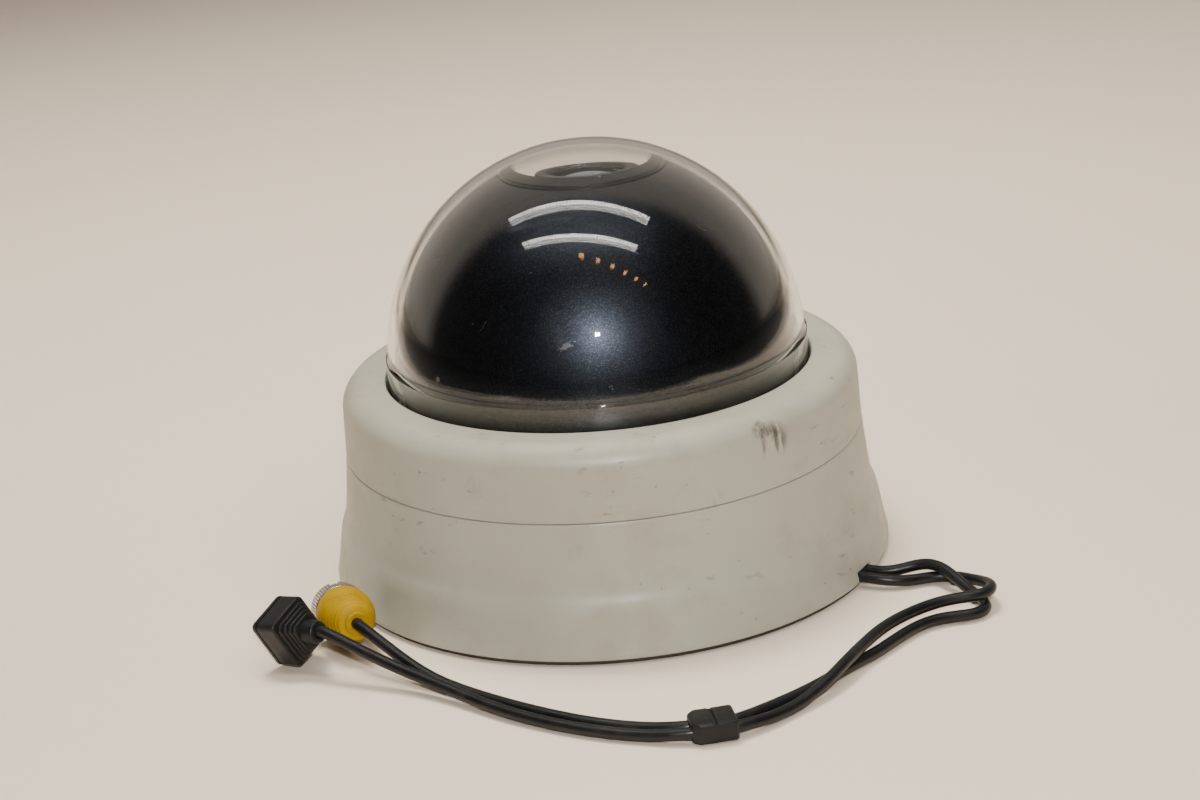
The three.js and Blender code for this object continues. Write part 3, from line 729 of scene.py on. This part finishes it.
# The cords' routes over the floor, from the base to their connectors.
VIDEO_PATH = [
    *through_grommet(CORD_SPREAD),
    (74, -38.9, 3.1), (78, -38.6, 4.2), (81.2, -40.8, 5.1), (83.4, -44, 5), (86.4, -49.6, 3.5),
    (89.2, -54.6, 1.9), (91.3, -58.8, 1.6), (92, -62.2, 1.6), (90.4, -65.3, 1.6),
    (87.2, -66.6, 1.6), (81.6, -66.4, 1.6), (75.5, -68.2, 1.6), (68, -74.8, 1.6),
    (60.5, -83.2, 1.6), (53.3, -89.3, 1.6), (47.3, -95.3, 1.6), (41.2, -100.7, 1.6),
    (35, -105.2, 1.6), (30, -109.2, 2),
    *through_clip(1),
    (4.5, -112.2, 1.6), (-5, -108.8, 1.6), (-16, -102.7, 1.6), (-28, -94.1, 1.6),
    (-39.5, -84.2, 1.6), (-46.7, -78.6, 2.8), (-53, -73.8, 5.6), (-58.8, -68.6, 8.6),
    on_connector(BOOT, -3.4), on_connector(BOOT, 4.6),
]

POWER_PATH = [
    *through_grommet(-CORD_SPREAD),
    (72.6, -43.8, 1.8), (77, -42.8, 1.6), (81, -41.6, 1.6), (85, -41.8, 1.6), (89, -44.4, 1.7),
    (91.6, -48.8, 2.6), (93, -52.8, 3.9), (93.8, -56.8, 4.9), (93.4, -60.2, 5.1),
    (91.2, -62.6, 5.1), (87.8, -63.2, 5.0), (82.4, -62.8, 4.7), (75.8, -65.2, 4.4),
    (68.3, -70.6, 4.4), (62.4, -77.2, 4.6), (58.2, -83.4, 4.7), (54.4, -89.4, 4.7),
    (50.4, -95.2, 4.2), (45.8, -100.8, 3), (40.5, -105.8, 1.8), (35.6, -110, 1.6),
    (31, -113.6, 2.1),
    *through_clip(-1),
    (4.5, -115.9, 1.6), (-5, -112.6, 1.6), (-16, -106.9, 1.6), (-28, -98.7, 1.9),
    (-39.3, -88.7, 2.6), (-46.3, -83.2, 3.8), (-53.8, -78.2, 5.4), (-61, -74.4, 7.9),
    (-67, -71, 10.2),
    on_connector(PLUG, -2.4), on_connector(PLUG, 3.6),
]


def make_cord(name, node, path):
    """A cord along its path."""
    line = relaxed(even_line(path), 16)
    piece = make_piece(name, tube_curve(name, line, CORD_DIAMETER), "base", "cord_jacket", node)


# ---- connectors and clip


def boot_mesh():
    """A beehive: an egg shape with fine rings and a small collar around the cord."""
    collar = rounded([(1.55, 0), (2.9, 0, 0.35), (2.95, 1.1, 0.3), (2.6, 1.3)])
    profile = [(0, 5), (1.55, 5), (1.55, 0), *collar[1:-1]]
    rings = 7
    groove_depths = ((0.0, 0.5), (0.14, 0.12), (0.35, 0.0), (0.65, 0.0), (0.86, 0.12), (0.97, 0.5))
    for i in range(rings):
        low = 1.4 + 8.6 * i / rings
        high = 1.4 + 8.6 * (i + 1) / rings
        for t, groove in groove_depths:
            s = low + (high - low) * t
            swell = math.sin(min(1.0, s / 10.6) * math.pi / 2) ** 0.9
            egg = 3.75 + 3.33 * swell - 0.35 * (1 - s / 10.6)
            profile.append((min(egg, 7.08) - groove, s))
    front = [(7.02, 10.1), (7.08, 12, 0.4), (7.0, 14.5, 0.5), (5.3, 14.5), (5.3, 8), (0, 8)]
    profile += rounded(front)[1:]
    return revolve(profile, 96)


def coupling_mesh():
    def knurl(angle, radius, height):
        if radius > 6.95 and 15.3 < height < 19.3:
            return radius - 0.22 * abs(math.sin(angle * 30))
        return radius

    body = revolve(rounded([
        (3.3, 9), (5, 9), (5, 14.8), (6.85, 14.8, 0.2), (6.95, 15.2), (7.1, 15.4), (7.1, 17),
        (7.1, 19.2), (6.95, 19.4), (6.8, 19.8, 0.25), (4.9, 19.8, 0.2), (4.9, 14), (3.3, 14),
    ]), 240, knurl)
    slot = prism(rectangle(3, 9, 1.1), 17.6, 21)
    other = placed(slot.copy(), turn_z(180))
    return cut(body, slot, other)


def plug_mesh():
    """A square block with a recessed seam near its face and four stepped ribs behind it."""
    body = bevel(prism(rounded_rectangle(13.8, 12.2, 1.6), 7.6, 16), 0.55, 4)
    seam = prism(rounded_rectangle(15, 14, 1.6), 13.9, 14.5)
    core = prism(rounded_rectangle(12.9, 11.3, 1.4), 13, 15)
    body = cut(body, cut(seam, core))
    steps = (
        (11.9, 10.3, 6.5, 7.9), (10.6, 9.1, 5.6, 7.0), (9.3, 8.0, 4.7, 6.1), (8.1, 7.1, 3.8, 5.2),
    )
    for width, height, low, high in steps:
        rib = bevel(prism(rounded_rectangle(width, height, 1.6), low, high), 0.3)
        body = union(body, rib)
    tail = revolve(rounded([(0, 0), (2.7, 0, 0.6), (3.3, 4.6), (0, 4.6)]), 48)
    body = union(body, tail)
    holes = [cylinder(1.55, -1, 4, 48)]
    holes += [placed(cylinder(1.5, 8, 17, 32), shift(x, 0, 0)) for x in (-3, 3)]
    return cut(body, *holes)


def clip_mesh():
    outline = [(-5.4, -2.8), (-3.8, -4.3), (5.4, -4.3), (5.4, 4.3), (-3.8, 4.3), (-5.4, 2.8)]
    body = bevel(prism(outline, 0.3, 5.4), 0.7, 4)
    waist = prism(rectangle(-0.5, 0.5, 6), 4.9, 7)
    lay = Matrix.Rotation(math.radians(90), 4, "Y")
    bores = []
    for side in (-1, 1):
        bore = cylinder(CORD_DIAMETER / 2 + 0.1, -8, 8, 48)
        bores.append(placed(bore, shift(0, side * CLIP_BORE_OFFSET, CLIP_BORE_HEIGHT) @ lay))
    body = cut(body, waist, *bores)
    return placed(body, shift(*CLIP_CENTRE, 0) @ turn_z(CLIP_TURN))


def grommet_mesh():
    body = bevel(prism(rounded_rectangle(7.7, 3.3, 1.5), 64, 74.4), 0.3)
    for side in (-CORD_SPREAD, CORD_SPREAD):
        hole = cylinder(CORD_DIAMETER / 2 + 0.08, 60, 85)
        body = cut(body, placed(hole, shift(side, 0, 0)))
    outward = turn_z(90) @ Matrix.Rotation(math.radians(90), 4, "X")
    return placed(body, turn_z(CABLE_ANGLE) @ shift(0, 0, CORD_HEIGHT_IN_GROMMET) @ outward)


def pin_mesh():
    profile = rounded([(0, 8.3), (0.8, 8.3, 0.1), (0.8, 17.8, 0.3), (0.35, 18.9, 0.2), (0, 18.9)])
    return revolve(profile, 32)


make_piece("yellow_boot", placed(boot_mesh(), BOOT), "base", "yellow_plastic", "video_boot")
make_piece("coupling_ring", placed(coupling_mesh(), BOOT), "coupling", "nickel", "video_coupling")
profile = rounded([(1.1, 8.3), (3, 8.3, 0.2), (3, 17.4, 0.3), (1.1, 17.4, 0.2)])
insulator = placed(revolve(profile, 48), BOOT)
make_piece("connector_insulator", insulator, "base", "cream_plastic", "video_insulator")
make_piece("connector_pin", placed(pin_mesh(), BOOT), "base", "gold", "video_pin")
make_piece("plug_body", placed(plug_mesh(), PLUG), "base", "black_plastic", "power_plug")
for label, offset in (("left", -3), ("right", 3)):
    profile = rounded([(0.6, 8.3), (1.2, 8.3, 0.1), (1.2, 15.4, 0.2), (0.6, 15.4, 0.1)])
    contact = placed(revolve(profile, 32), PLUG @ shift(offset, 0, 0))
    make_piece(f"plug_contact_{label}", contact, "base", "gold", f"power_contact_{label}")
make_piece("clip_body", clip_mesh(), "base", "black_plastic", "cord_clip")
make_piece("grommet_body", grommet_mesh(), "base", "black_rubber", "cable_grommet")

make_cord(
    "video_lead", "video_cord", VIDEO_PATH,
)
make_cord(
    "power_lead", "power_cord", POWER_PATH,
)

# ---- base and housing

SLOT_ANGLES = (0, 90, 180, 270)  # of the mounting slots
POSTS = on_circle(57, (30, 150, 270))  # that carry the pan bearing
CHASSIS_RADIUS = 66
GAP = 0.3  # between neighbouring pieces
NOTCH_HALF = 3.95  # half the width of the cords' notch in the rim
BOARD_SCREWS = ((30, 24), (-30, 24), (-30, -24), (30, -24))


def mounting_slots(bottom, top):
    """Cutters for the slots that take the mounting screws."""
    slots = []
    for angle in SLOT_ANGLES:
        slot = prism(rounded_rectangle(5.4, 13, 2.4), bottom, top)
        slots.append(placed(slot, turn_z(angle) @ shift(48, 0, 0)))
    return slots


def cable_notch(bottom, top, half):
    """A cutter for the notch that the cords pass."""
    return placed(prism(rectangle(50, 82, half), bottom, top), turn_z(CABLE_ANGLE))


def base_plate_mesh():
    profile = rounded([(12, 0, 0.2), (74, 0, 0.3), (74, 1.5, 0.3), (12, 1.5, 0.2)])
    return cut(revolve(profile), cable_notch(-1, 3, NOTCH_HALF), *mounting_slots(-1, 3))


def housing_mesh():
    """The flared wall with its moulded ledge, and the rim that hangs over the base plate."""
    wall = smooth_line([
        (75, 2.4), (74.55, 4.4), (73.95, 7.5), (73.35, 11), (72.95, 13.2), (72.4, 15.1),
        (71.55, 17.2), (70.95, 19.8), (70.5, 23), (70.05, 27), (69.6, 31), (69.25, 34.4),
    ], 5)
    inner = CHASSIS_RADIUS + GAP
    profile = [(inner, 1.8), (74.3, 1.8), (74.3, 1.25), (74.75, 1.25), (74.95, 1.45)]
    profile += [(p.x, p.y) for p in wall]
    profile += [(69.05, 34.9), (68.8, 35), (67.1, 35), (66.85, 34.8)]
    profile += [(67.6, 23), (70.2, 13), (71, 6), (70.6, 4.9), (69.6, 4.4), (inner, 4.4)]
    return cut(revolve(profile), cable_notch(0, 4.3, NOTCH_HALF))


def chassis_mesh():
    """The tray inside the wall, with its posts and the bosses for the board."""
    profile = rounded([
        (12, 1.8, 0.3), (CHASSIS_RADIUS, 1.8, 0.3), (CHASSIS_RADIUS, 4.4, 0.3), (12, 4.4, 0.3),
    ])
    post_profile = rounded([(0, 3.4), (4.2, 3.4), (3.8, 5, 1), (3.6, 24, 0.3), (0, 24)])
    boss_profile = rounded([(0, 3.4), (3.3, 3.4), (3, 5, 0.8), (2.9, 10, 0.2), (0, 10)])
    body = revolve(profile)
    for x, y in POSTS:
        body = union(body, placed(revolve(post_profile, 40), shift(x, y, 0)))
    for x, y in BOARD_SCREWS:
        body = union(body, placed(revolve(boss_profile, 32), shift(x, y, 0)))
    body = drilled(body, POSTS, 1.5, 12, 25, 48)
    body = drilled(body, BOARD_SCREWS, 1.4, 4.8, 11, 48)
    return cut(body, cable_notch(0, 4.9, 4.8), *mounting_slots(0, 9))


make_piece("plate_body", base_plate_mesh(), "base", "black_steel", "base_plate")
make_piece("housing_body", housing_mesh(), "base", "ivory_plastic", "lower_housing")
make_piece("chassis_body", chassis_mesh(), "base", "black_plastic", "chassis")

# ---- cover and clear dome

COVER_SCREWS = on_circle(62.6, (20, 110, 200, 290))


def cover_mesh():
    """The cover with its round shoulder, the hole for the dome and four screw bosses inside."""
    wall = smooth_line([(69.15, 36), (68.95, 40), (68.8, 44), (68.62, 47.6)], 4)
    shoulder = arc(48.1, 6.2, 2, 88, 14)
    profile = [(64.9, 31), (65.8, 31), (66, 31.2), (66.2, 35.15), (68.85, 35.15), (69.1, 35.3)]
    profile += [(p.x, p.y) for p in wall]
    profile += [(62.42 + radius, height) for radius, height in shoulder]
    profile += rounded([
        (60, 54.3), (56.65, 54.3, 0.9), (56.65, 51.8, 0.2), (63, 51.8), (64.6, 50.6),
        (65.9, 48), (66.2, 39), (64.9, 37),
    ])
    body = revolve(profile)
    for x, y in COVER_SCREWS:
        body = union(body, placed(cylinder(2.3, 47.6, 52.3, 32), shift(x, y, 0)))
    return drilled(body, COVER_SCREWS, 1.3, 47, 51.8)


def clear_dome_mesh():
    """The clear shell with its flange and the small step in its skirt."""
    profile = arc(DOME_CENTRE, 53.75, 90, 0, 72)
    profile += rounded([
        (53.75, 47.6), (59.6, 47.6, 0.3), (59.6, 49.6, 0.3), (55.9, 49.6, 0.2), (55.9, 60, 0.3),
    ])
    profile += arc(DOME_CENTRE, 55.45, 3.2, 90, 72)
    return revolve(profile, 240)


def retaining_ring_mesh():
    profile = rounded([(56.4, 44.9, 0.2), (65, 44.9, 0.3), (65, 47.3, 0.3), (56.4, 47.3, 0.2)])
    return drilled(revolve(profile), COVER_SCREWS, 1.3, 40, 50)


make_piece("cover_body", cover_mesh(), "cover", "ivory_plastic", "upper_cover")
clear = make_piece("dome_shell", clear_dome_mesh(), "cover", "clear_plastic", "clear_dome")
clear.visible_shadow = False  # light passes through it
make_piece("ring_body", retaining_ring_mesh(), "cover", "black_plastic", "retaining_ring")
seal_profile = rounded([
    (56.3, 49.9, 0.4), (59.8, 49.9, 0.4), (59.8, 51.5, 0.4), (56.3, 51.5, 0.4),
])
make_piece("seal_body", revolve(seal_profile), "cover", "black_rubber", "dome_seal")

# ---- black inner dome


def slot_outline(half, steps=48):
    """The U shape of the lens slot, seen from above."""
    outline = [(half, 60), (-half, 60)]
    for i in range(steps + 1):
        angle = math.radians(180 + 180 * i / steps)
        outline.append((half * math.cos(angle), half * math.sin(angle)))
    return outline


def half_dome(inner, outer):
    profile = arc(DOME_CENTRE, inner, 90, 0, 60) + arc(DOME_CENTRE, outer, 0, 90, 60)
    return revolve(profile, 240)


def liner_mesh():
    """The black inner dome: a shell with a raised lip and a thin groove around its slot."""
    profile = arc(DOME_CENTRE, 51.15, 90, 0, 60)
    profile += rounded([(51.15, 34.1, 0.5), (46.5, 34.1), (46.5, 32.1, 0.2), (52.65, 32.1, 0.4)])
    profile += arc(DOME_CENTRE, 52.65, 0, 90, 60)
    shell = revolve(profile, 240)
    lip_area = prism(slot_outline(21), SLOT_END, 130)
    lip = boolean(half_dome(51.8, 53.1), lip_area, "INTERSECT")
    body = union(shell, lip)
    groove = half_dome(52.2, 54)
    groove = boolean(groove, prism(slot_outline(22.1), SLOT_END - 0.8, 130), "INTERSECT")
    groove = cut(groove, prism(slot_outline(21.4), SLOT_END - 0.1, 131))
    body = cut(body, groove)
    return cut(body, prism(slot_outline(SLOT_HALF), SLOT_END, 130))


make_piece("liner_body", liner_mesh(), "pan", "black_gloss", "black_liner")

# ---- pan bearing


def stop_block(bottom, top, angle):
    block = bevel(prism(rectangle(42, 46, 2.6), bottom, top), 0.3)
    return placed(block, turn_z(angle))


def pan_base_mesh():
    body = revolve(rounded([
        (38.5, 24.3, 0.2), (61.5, 24.3, 0.3), (61.5, 26.8, 0.3), (41, 26.8), (41, 29.3, 0.3),
        (38.5, 29.3, 0.3),
    ]))
    body = union(body, stop_block(26.3, 29.1, 90))
    return drilled(body, POSTS, 1.7, 20, 30)


def turntable_mesh():
    body = revolve(rounded([
        (7, 24.3, 0.2), (38.2, 24.3, 0.3), (38.2, 29.6), (52.3, 29.6, 0.3), (52.3, 31.8, 0.3),
        (7, 31.8, 0.3),
    ]))
    return union(body, stop_block(27.4, 30.1, 270))


make_piece("bearing_body", pan_base_mesh(), "base", "black_plastic", "pan_base")
make_piece("turntable_body", turntable_mesh(), "pan", "black_plastic", "pan_turntable")
make_piece(
    "retainer_body",
    revolve(rounded([(7, 21.6, 0.3), (42, 21.6, 0.3), (42, 24, 0.3), (7, 24, 0.3)])),
    "pan", "black_plastic", "pan_retainer",
)

# ---- gimbal


def on_x(mesh):
    """Lays a shape that was drawn along Z along X."""
    return placed(mesh, Matrix.Rotation(math.radians(90), 4, "Y"))


def yoke_mesh():
    """A U with two round-ended arms that carry the cradle's screws."""
    body = prism(rounded_rectangle(54.8, 22, 2.5), 32.1, 34.1)
    outline = [(-9, 32.1), (9, 32.1)]
    for angle in range(0, 181, 6):
        y, z = polar(9, angle)
        outline.append((y, DOME_CENTRE + z))
    upright = Matrix(((0, 0, 1, 0), (1, 0, 0, 0), (0, 1, 0, 0), (0, 0, 0, 1)))
    for side in (-1, 1):
        low, high = sorted((side * 25.4, side * 27.4))
        body = union(body, placed(prism(outline, low, high), upright))
        hole = placed(on_x(cylinder(2.3, low - 1, high + 1, 40)), shift(0, 0, DOME_CENTRE))
        body = cut(body, hole)
    body = cut(body, cylinder(7, 30, 40, 64))
    return placed(bevel(body, 0.3, 2), shift(LENS_OFFSET, 0, 0))


def cradle_mesh():
    ring = rounded([(17.4, -5, 0.3), (20.6, -5, 0.5), (20.6, 5, 0.5), (17.4, 5, 0.3)])
    body = revolve(ring, 96)
    for low, high in ((18.4, 25.1), (-25.1, -18.4)):
        profile = rounded([(0, low), (4.8, low, 0.3), (4.8, high, 0.3), (0, high)])
        body = union(body, on_x(revolve(profile, 40)))
    for low, high in ((20, 26), (-26, -20)):
        body = cut(body, on_x(cylinder(2.2, low, high, 32)))
    return cut(body, cylinder(17.4, -6, 6, 96))


def knob_mesh():
    def knurl(angle, radius, height):
        return radius - 0.35 * abs(math.sin(angle * 12)) if radius > 5 else radius

    return on_x(revolve(rounded([
        (0, 20.4), (1.9, 20.4, 0.3), (1.9, 27.7), (5.4, 27.7, 0.3), (5.6, 28.1), (5.6, 30.6),
        (5.3, 31.2, 0.3), (2.6, 31.2, 0.2), (2.4, 30.4), (0, 30.4),
    ]), 144, knurl))


def sleeve_mesh():
    return revolve(rounded([
        (7, -9, 0.2), (17.1, -9, 0.6), (17.1, 6.5, 0.5), (15.5, 8, 0.4), (10.7, 8, 0.2),
        (10.7, -2.3), (7, -2.3),
    ]), 96)


def barrel_mesh():
    threads = []
    for i in range(6):
        z = 46.6 - 0.42 * i
        threads += [(10.35, z), (10.1, z - 0.21)]
    return revolve(rounded([
        (7, -2), (10.4, -2, 0.3), (10.4, 20.4), (12.7, 20.4, 0.3), (12.7, 23.6, 0.3),
        (10.4, 23.6), (10.4, 36.4), (12.9, 36.4, 0.3), (13.6, 39, 0.3), (13.6, 41.2, 0.1),
        (13.35, 41.4), (13.35, 41.8), (13.6, 42, 0.1), (13.6, 47.3, 0.5), (10.7, 47.3, 0.3),
        *threads, (9.9, 44.4), (7, 44.4),
    ]), 160)


def glass_mesh():
    """The front lens, which bulges by 1.6 mm."""
    profile = [(0, 44.7), (9.5, 44.7), (9.5, 44.95)]
    for i in range(13):
        t = 1 - i / 12
        profile.append((9.3 * t, 46.65 - 1.6 * t ** 2))
    return revolve(profile, 96)


def grip_ring_mesh(bottom, top):
    def ribs(angle, radius, height):
        if radius > 13.1 and bottom + 0.8 < height < top - 0.8:
            return radius - 0.32 * (0.5 + 0.5 * math.cos(angle * 40))
        return radius

    return revolve(rounded([
        (10.7, bottom, 0.1), (12.9, bottom, 0.3), (13.3, bottom + 0.6), (13.3, bottom + 0.9),
        (13.3, top - 0.9), (13.3, top - 0.6), (12.9, top, 0.3), (10.7, top, 0.1),
    ]), 320, ribs)


def lever_mesh(height, angle):
    stem = revolve(rounded([
        (0, 13.6), (1.2, 13.6), (1.2, 17.2), (1.9, 17.2, 0.2), (1.9, 20.2, 0.5), (0, 20.2),
    ]), 32)
    return placed(placed(on_x(stem), shift(0, 0, height)), turn_z(angle))


def on_lens(name, mesh, body, slot, node):
    """A piece that is drawn in the frame of the lens."""
    make_piece(name, placed(mesh, HEAD), body, slot, node)


make_piece("yoke_body", yoke_mesh(), "pan", "black_plastic", "tilt_yoke")
on_lens("cradle_body", cradle_mesh(), "tilt", "black_plastic", "tilt_cradle")
on_lens("knob_right", knob_mesh(), "tilt", "black_plastic", "tilt_screw_right")
on_lens("knob_left", placed(knob_mesh(), turn_z(180)), "tilt", "black_plastic", "tilt_screw_left")
on_lens("sleeve_body", sleeve_mesh(), "module", "black_plastic", "module_sleeve")
on_lens("barrel_body", barrel_mesh(), "module", "black_plastic", "lens_barrel")

# The glass keeps its own frame, so that its material is centred on the optical axis.
lens = make_piece("lens_front", glass_mesh(), "module", "lens_glass", "front_glass")
lens.matrix_world = HEAD

on_lens("zoom_grip", grip_ring_mesh(11, 20.1), "zoom", "black_plastic", "zoom_ring")
on_lens("focus_grip", grip_ring_mesh(23.9, 36.1), "focus", "black_plastic", "focus_ring")
on_lens("zoom_pin", lever_mesh(15.5, 200), "zoom", "steel", "zoom_lever")
on_lens("focus_pin", lever_mesh(30, 340), "focus", "steel", "focus_lever")

# ---- screws


def screw_mesh(head_radius, head_height, shank_radius, shank_length, seat):
    """A screw with a cross recess. Its head rests at the seat's height."""
    points = [(0, seat - shank_length)]
    if shank_length:
        points += [(shank_radius, seat - shank_length), (shank_radius, seat)]
    points += [
        (head_radius, seat), (head_radius, seat + head_height * 0.55, 0.3),
        (head_radius * 0.7, seat + head_height, 0.4), (0, seat + head_height),
    ]
    body = revolve(rounded(points), 40)
    arm, half = head_radius * 0.55, head_radius * 0.12
    for width, depth in ((arm, half), (half, arm)):
        outline = rectangle(-width, width, depth)
        body = cut(body, prism(outline, seat + head_height * 0.4, seat + head_height + 1))
    return body


def place_screws(prefix, places, shape, body, height=0, flip=False):
    """Copies of a screw at these places, head down where they are flipped."""
    for number, (x, y) in enumerate(places, 1):
        matrix = shift(x, y, height)
        if flip:
            matrix = matrix @ Matrix.Rotation(math.pi, 4, "X")
        screw = placed(shape.copy(), matrix)
        make_piece(f"{prefix}_fix_{number}", screw, body, "steel", f"{prefix}_screw_{number}")


place_screws("board", BOARD_SCREWS, screw_mesh(2.6, 1.7, 1.1, 6.5, 12.2), "base")
place_screws("pan_base", POSTS, screw_mesh(2.8, 1.8, 1.2, 9, 27.1), "base")
place_screws("liner", on_circle(48.8, (90, 210, 330)), screw_mesh(1.9, 1.6, 1, 0, 34.4), "pan")
yoke_screws = [(LENS_OFFSET - 17, 0), (LENS_OFFSET + 17, 0)]
place_screws("yoke", yoke_screws, screw_mesh(2.6, 1.7, 1.1, 0, 34.4), "pan")
cover_screw = screw_mesh(2.2, 1.6, 1, 5.8, 0)
place_screws("retaining", COVER_SCREWS, cover_screw, "cover", height=44.6, flip=True)

# ---- carried-over CAD nodes

CARRIED = {
    "main_board": "board_green",
    "sensor_board": "board_green",
    "terminal_block": "cream_plastic",
    "board_capacitor": "black_plastic",
    "image_sensor": "cream_plastic",
}

for node, material in CARRIED.items():
    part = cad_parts[node]
    part.data.materials.clear()
    part.data.materials.append(MATERIALS[material])

# ---- floor and light


def floor_material():
    n = Nodes("paper")
    stops = [(0.3, (0.665, 0.570, 0.465)), (0.7, (0.715, 0.617, 0.510))]
    n.color(n.ramp(n.noise(1.6, 3.0), stops))
    n.bump(n.noise(35.0, 3.0), 0.15, 0.6)
    n.set(Roughness=0.85, Specular_IOR_Level=0.2)
    return n.material


def stage_sheet(name, corners, height, material):
    """A flat sheet on the stage between two opposite corners."""
    (left, front), (right, back) = corners
    outline = ((left, front), (right, front), (right, back), (left, back))
    bm = bmesh.new()
    bm.faces.new([bm.verts.new((x, y, height)) for x, y in outline])
    mesh = bpy.data.meshes.new(name)
    bm.to_mesh(mesh)
    bm.free()
    mesh.materials.append(material)
    sheet = linked(name, mesh)
    return sheet


def make_floor():
    """A pale floor, and black cards around it that only the dome's reflections show."""
    stage_sheet("floor", ((-5, -5), (5, 7)), -0.0002, floor_material())
    cards = {
        "card_front": ((-5, -5), (5, -0.28)),
        "card_left": ((-5, -0.28), (-0.30, 0.60)),
        "card_right": ((0.36, -0.28), (5, 0.60)),
    }
    for name, corners in cards.items():
        card = stage_sheet(name, corners, 0.002, MATERIALS["black_rubber"])
        card.visible_camera = False
        card.visible_diffuse = False
        card.visible_shadow = False


WARM = (1.0, 0.94, 0.85)
NEUTRAL = (1.0, 0.97, 0.90)
COOL = (1.0, 0.985, 0.965)
ORANGE = (1.0, 0.50, 0.16)


def area_light(name, place, size, power, color, target=None, turn=0, shows=True, spread=180):
    """A rectangular light that faces the target, or straight down where there is none.

    One that doesn't show lights surfaces without a reflection of itself.
    """
    data = bpy.data.lights.new(name, "AREA")
    data.shape = "RECTANGLE"
    data.size, data.size_y = size
    data.energy = power
    data.color = color
    data.spread = math.radians(spread)
    light = linked(name, data)
    light.visible_glossy = shows
    light.visible_transmission = shows
    aim = turn_z(turn)
    if target:
        aim = (Vector(target) - Vector(place)).to_track_quat("-Z", "Y").to_matrix().to_4x4()
    light.matrix_world = Matrix.Translation(Vector(place)) @ aim
    return data


def dotted(data, across, along):
    """Breaks a light into a grid of round dots."""
    data.use_nodes = True
    tree = data.node_tree
    emission = tree.nodes["Emission"]
    place = tree.nodes.new("ShaderNodeNewGeometry")
    grid = tree.nodes.new("ShaderNodeVectorMath")
    grid.operation = "MULTIPLY"
    grid.inputs[1].default_value = (across, along, 0)
    cell = tree.nodes.new("ShaderNodeVectorMath")
    cell.operation = "FRACTION"
    far = tree.nodes.new("ShaderNodeVectorMath")
    far.operation = "DISTANCE"
    far.inputs[1].default_value = (0.5, 0.5, 0)
    dot = tree.nodes.new("ShaderNodeMapRange")
    dot.inputs["From Min"].default_value = 0.34
    dot.inputs["From Max"].default_value = 0.42
    dot.inputs["To Min"].default_value = 2.0
    dot.inputs["To Max"].default_value = 0.25
    tree.links.new(place.outputs["Parametric"], grid.inputs[0])
    tree.links.new(grid.outputs["Vector"], cell.inputs[0])
    tree.links.new(cell.outputs["Vector"], far.inputs[0])
    tree.links.new(far.outputs["Value"], dot.inputs["Value"])
    tree.links.new(dot.outputs["Result"], emission.inputs["Strength"])


def make_world():
    """A bright room behind the object and a dark one in front of it."""
    world = bpy.data.worlds.new("studio")
    bpy.context.scene.world = world
    world.use_nodes = True
    tree = world.node_tree
    place = tree.nodes.new("ShaderNodeTexCoord")
    split = tree.nodes.new("ShaderNodeSeparateXYZ")
    ramp = tree.nodes.new("ShaderNodeValToRGB")
    ramp.color_ramp.elements[0].position = 0.20
    ramp.color_ramp.elements[0].color = (0.030, 0.027, 0.026, 1)
    ramp.color_ramp.elements[1].position = 0.36
    ramp.color_ramp.elements[1].color = (0.46, 0.405, 0.34, 1)
    tree.links.new(place.outputs["Generated"], split.inputs["Vector"])
    tree.links.new(split.outputs["Y"], ramp.inputs["Fac"])
    tree.links.new(ramp.outputs["Color"], tree.nodes["Background"].inputs["Color"])


make_floor()

# Two soft lights that the dome doesn't show.
for name, place, size, power in (
    ("key", (-0.20, 0.40, 1.60), 0.5, 4.5),
    ("fill", (0.75, -0.45, 1.30), 0.9, 1.3),
):
    area_light(name, place, (size, size), power, WARM, target=(0, 0.25, 0), shows=False, spread=66)

# A small flash by the camera, two long rows of dots overhead and a row of small lamps.
area_light("flash", (0.01, -0.60, 0.32), (0.028, 0.017), 3.4, COOL, target=(0, 0, 0.07))
for name, place, size, power, spread, dots in (
    ("tube_back", (-0.10, 0.36, 1.9), (2.1, 0.09), 5.5, 110, 46),
    ("tube_front", (-0.12, -0.36, 1.9), (1.9, 0.08), 4.0, 100, 42),
):
    dotted(area_light(name, place, size, power, NEUTRAL, turn=-12, spread=spread), dots, 3)
for step in range(6):
    place = (-0.10 + 0.21 * step, -0.60 - 0.11 * step, 1.5)
    area_light(f"lamp_{step + 1}", place, (0.055, 0.055), 0.12, ORANGE)
make_world()
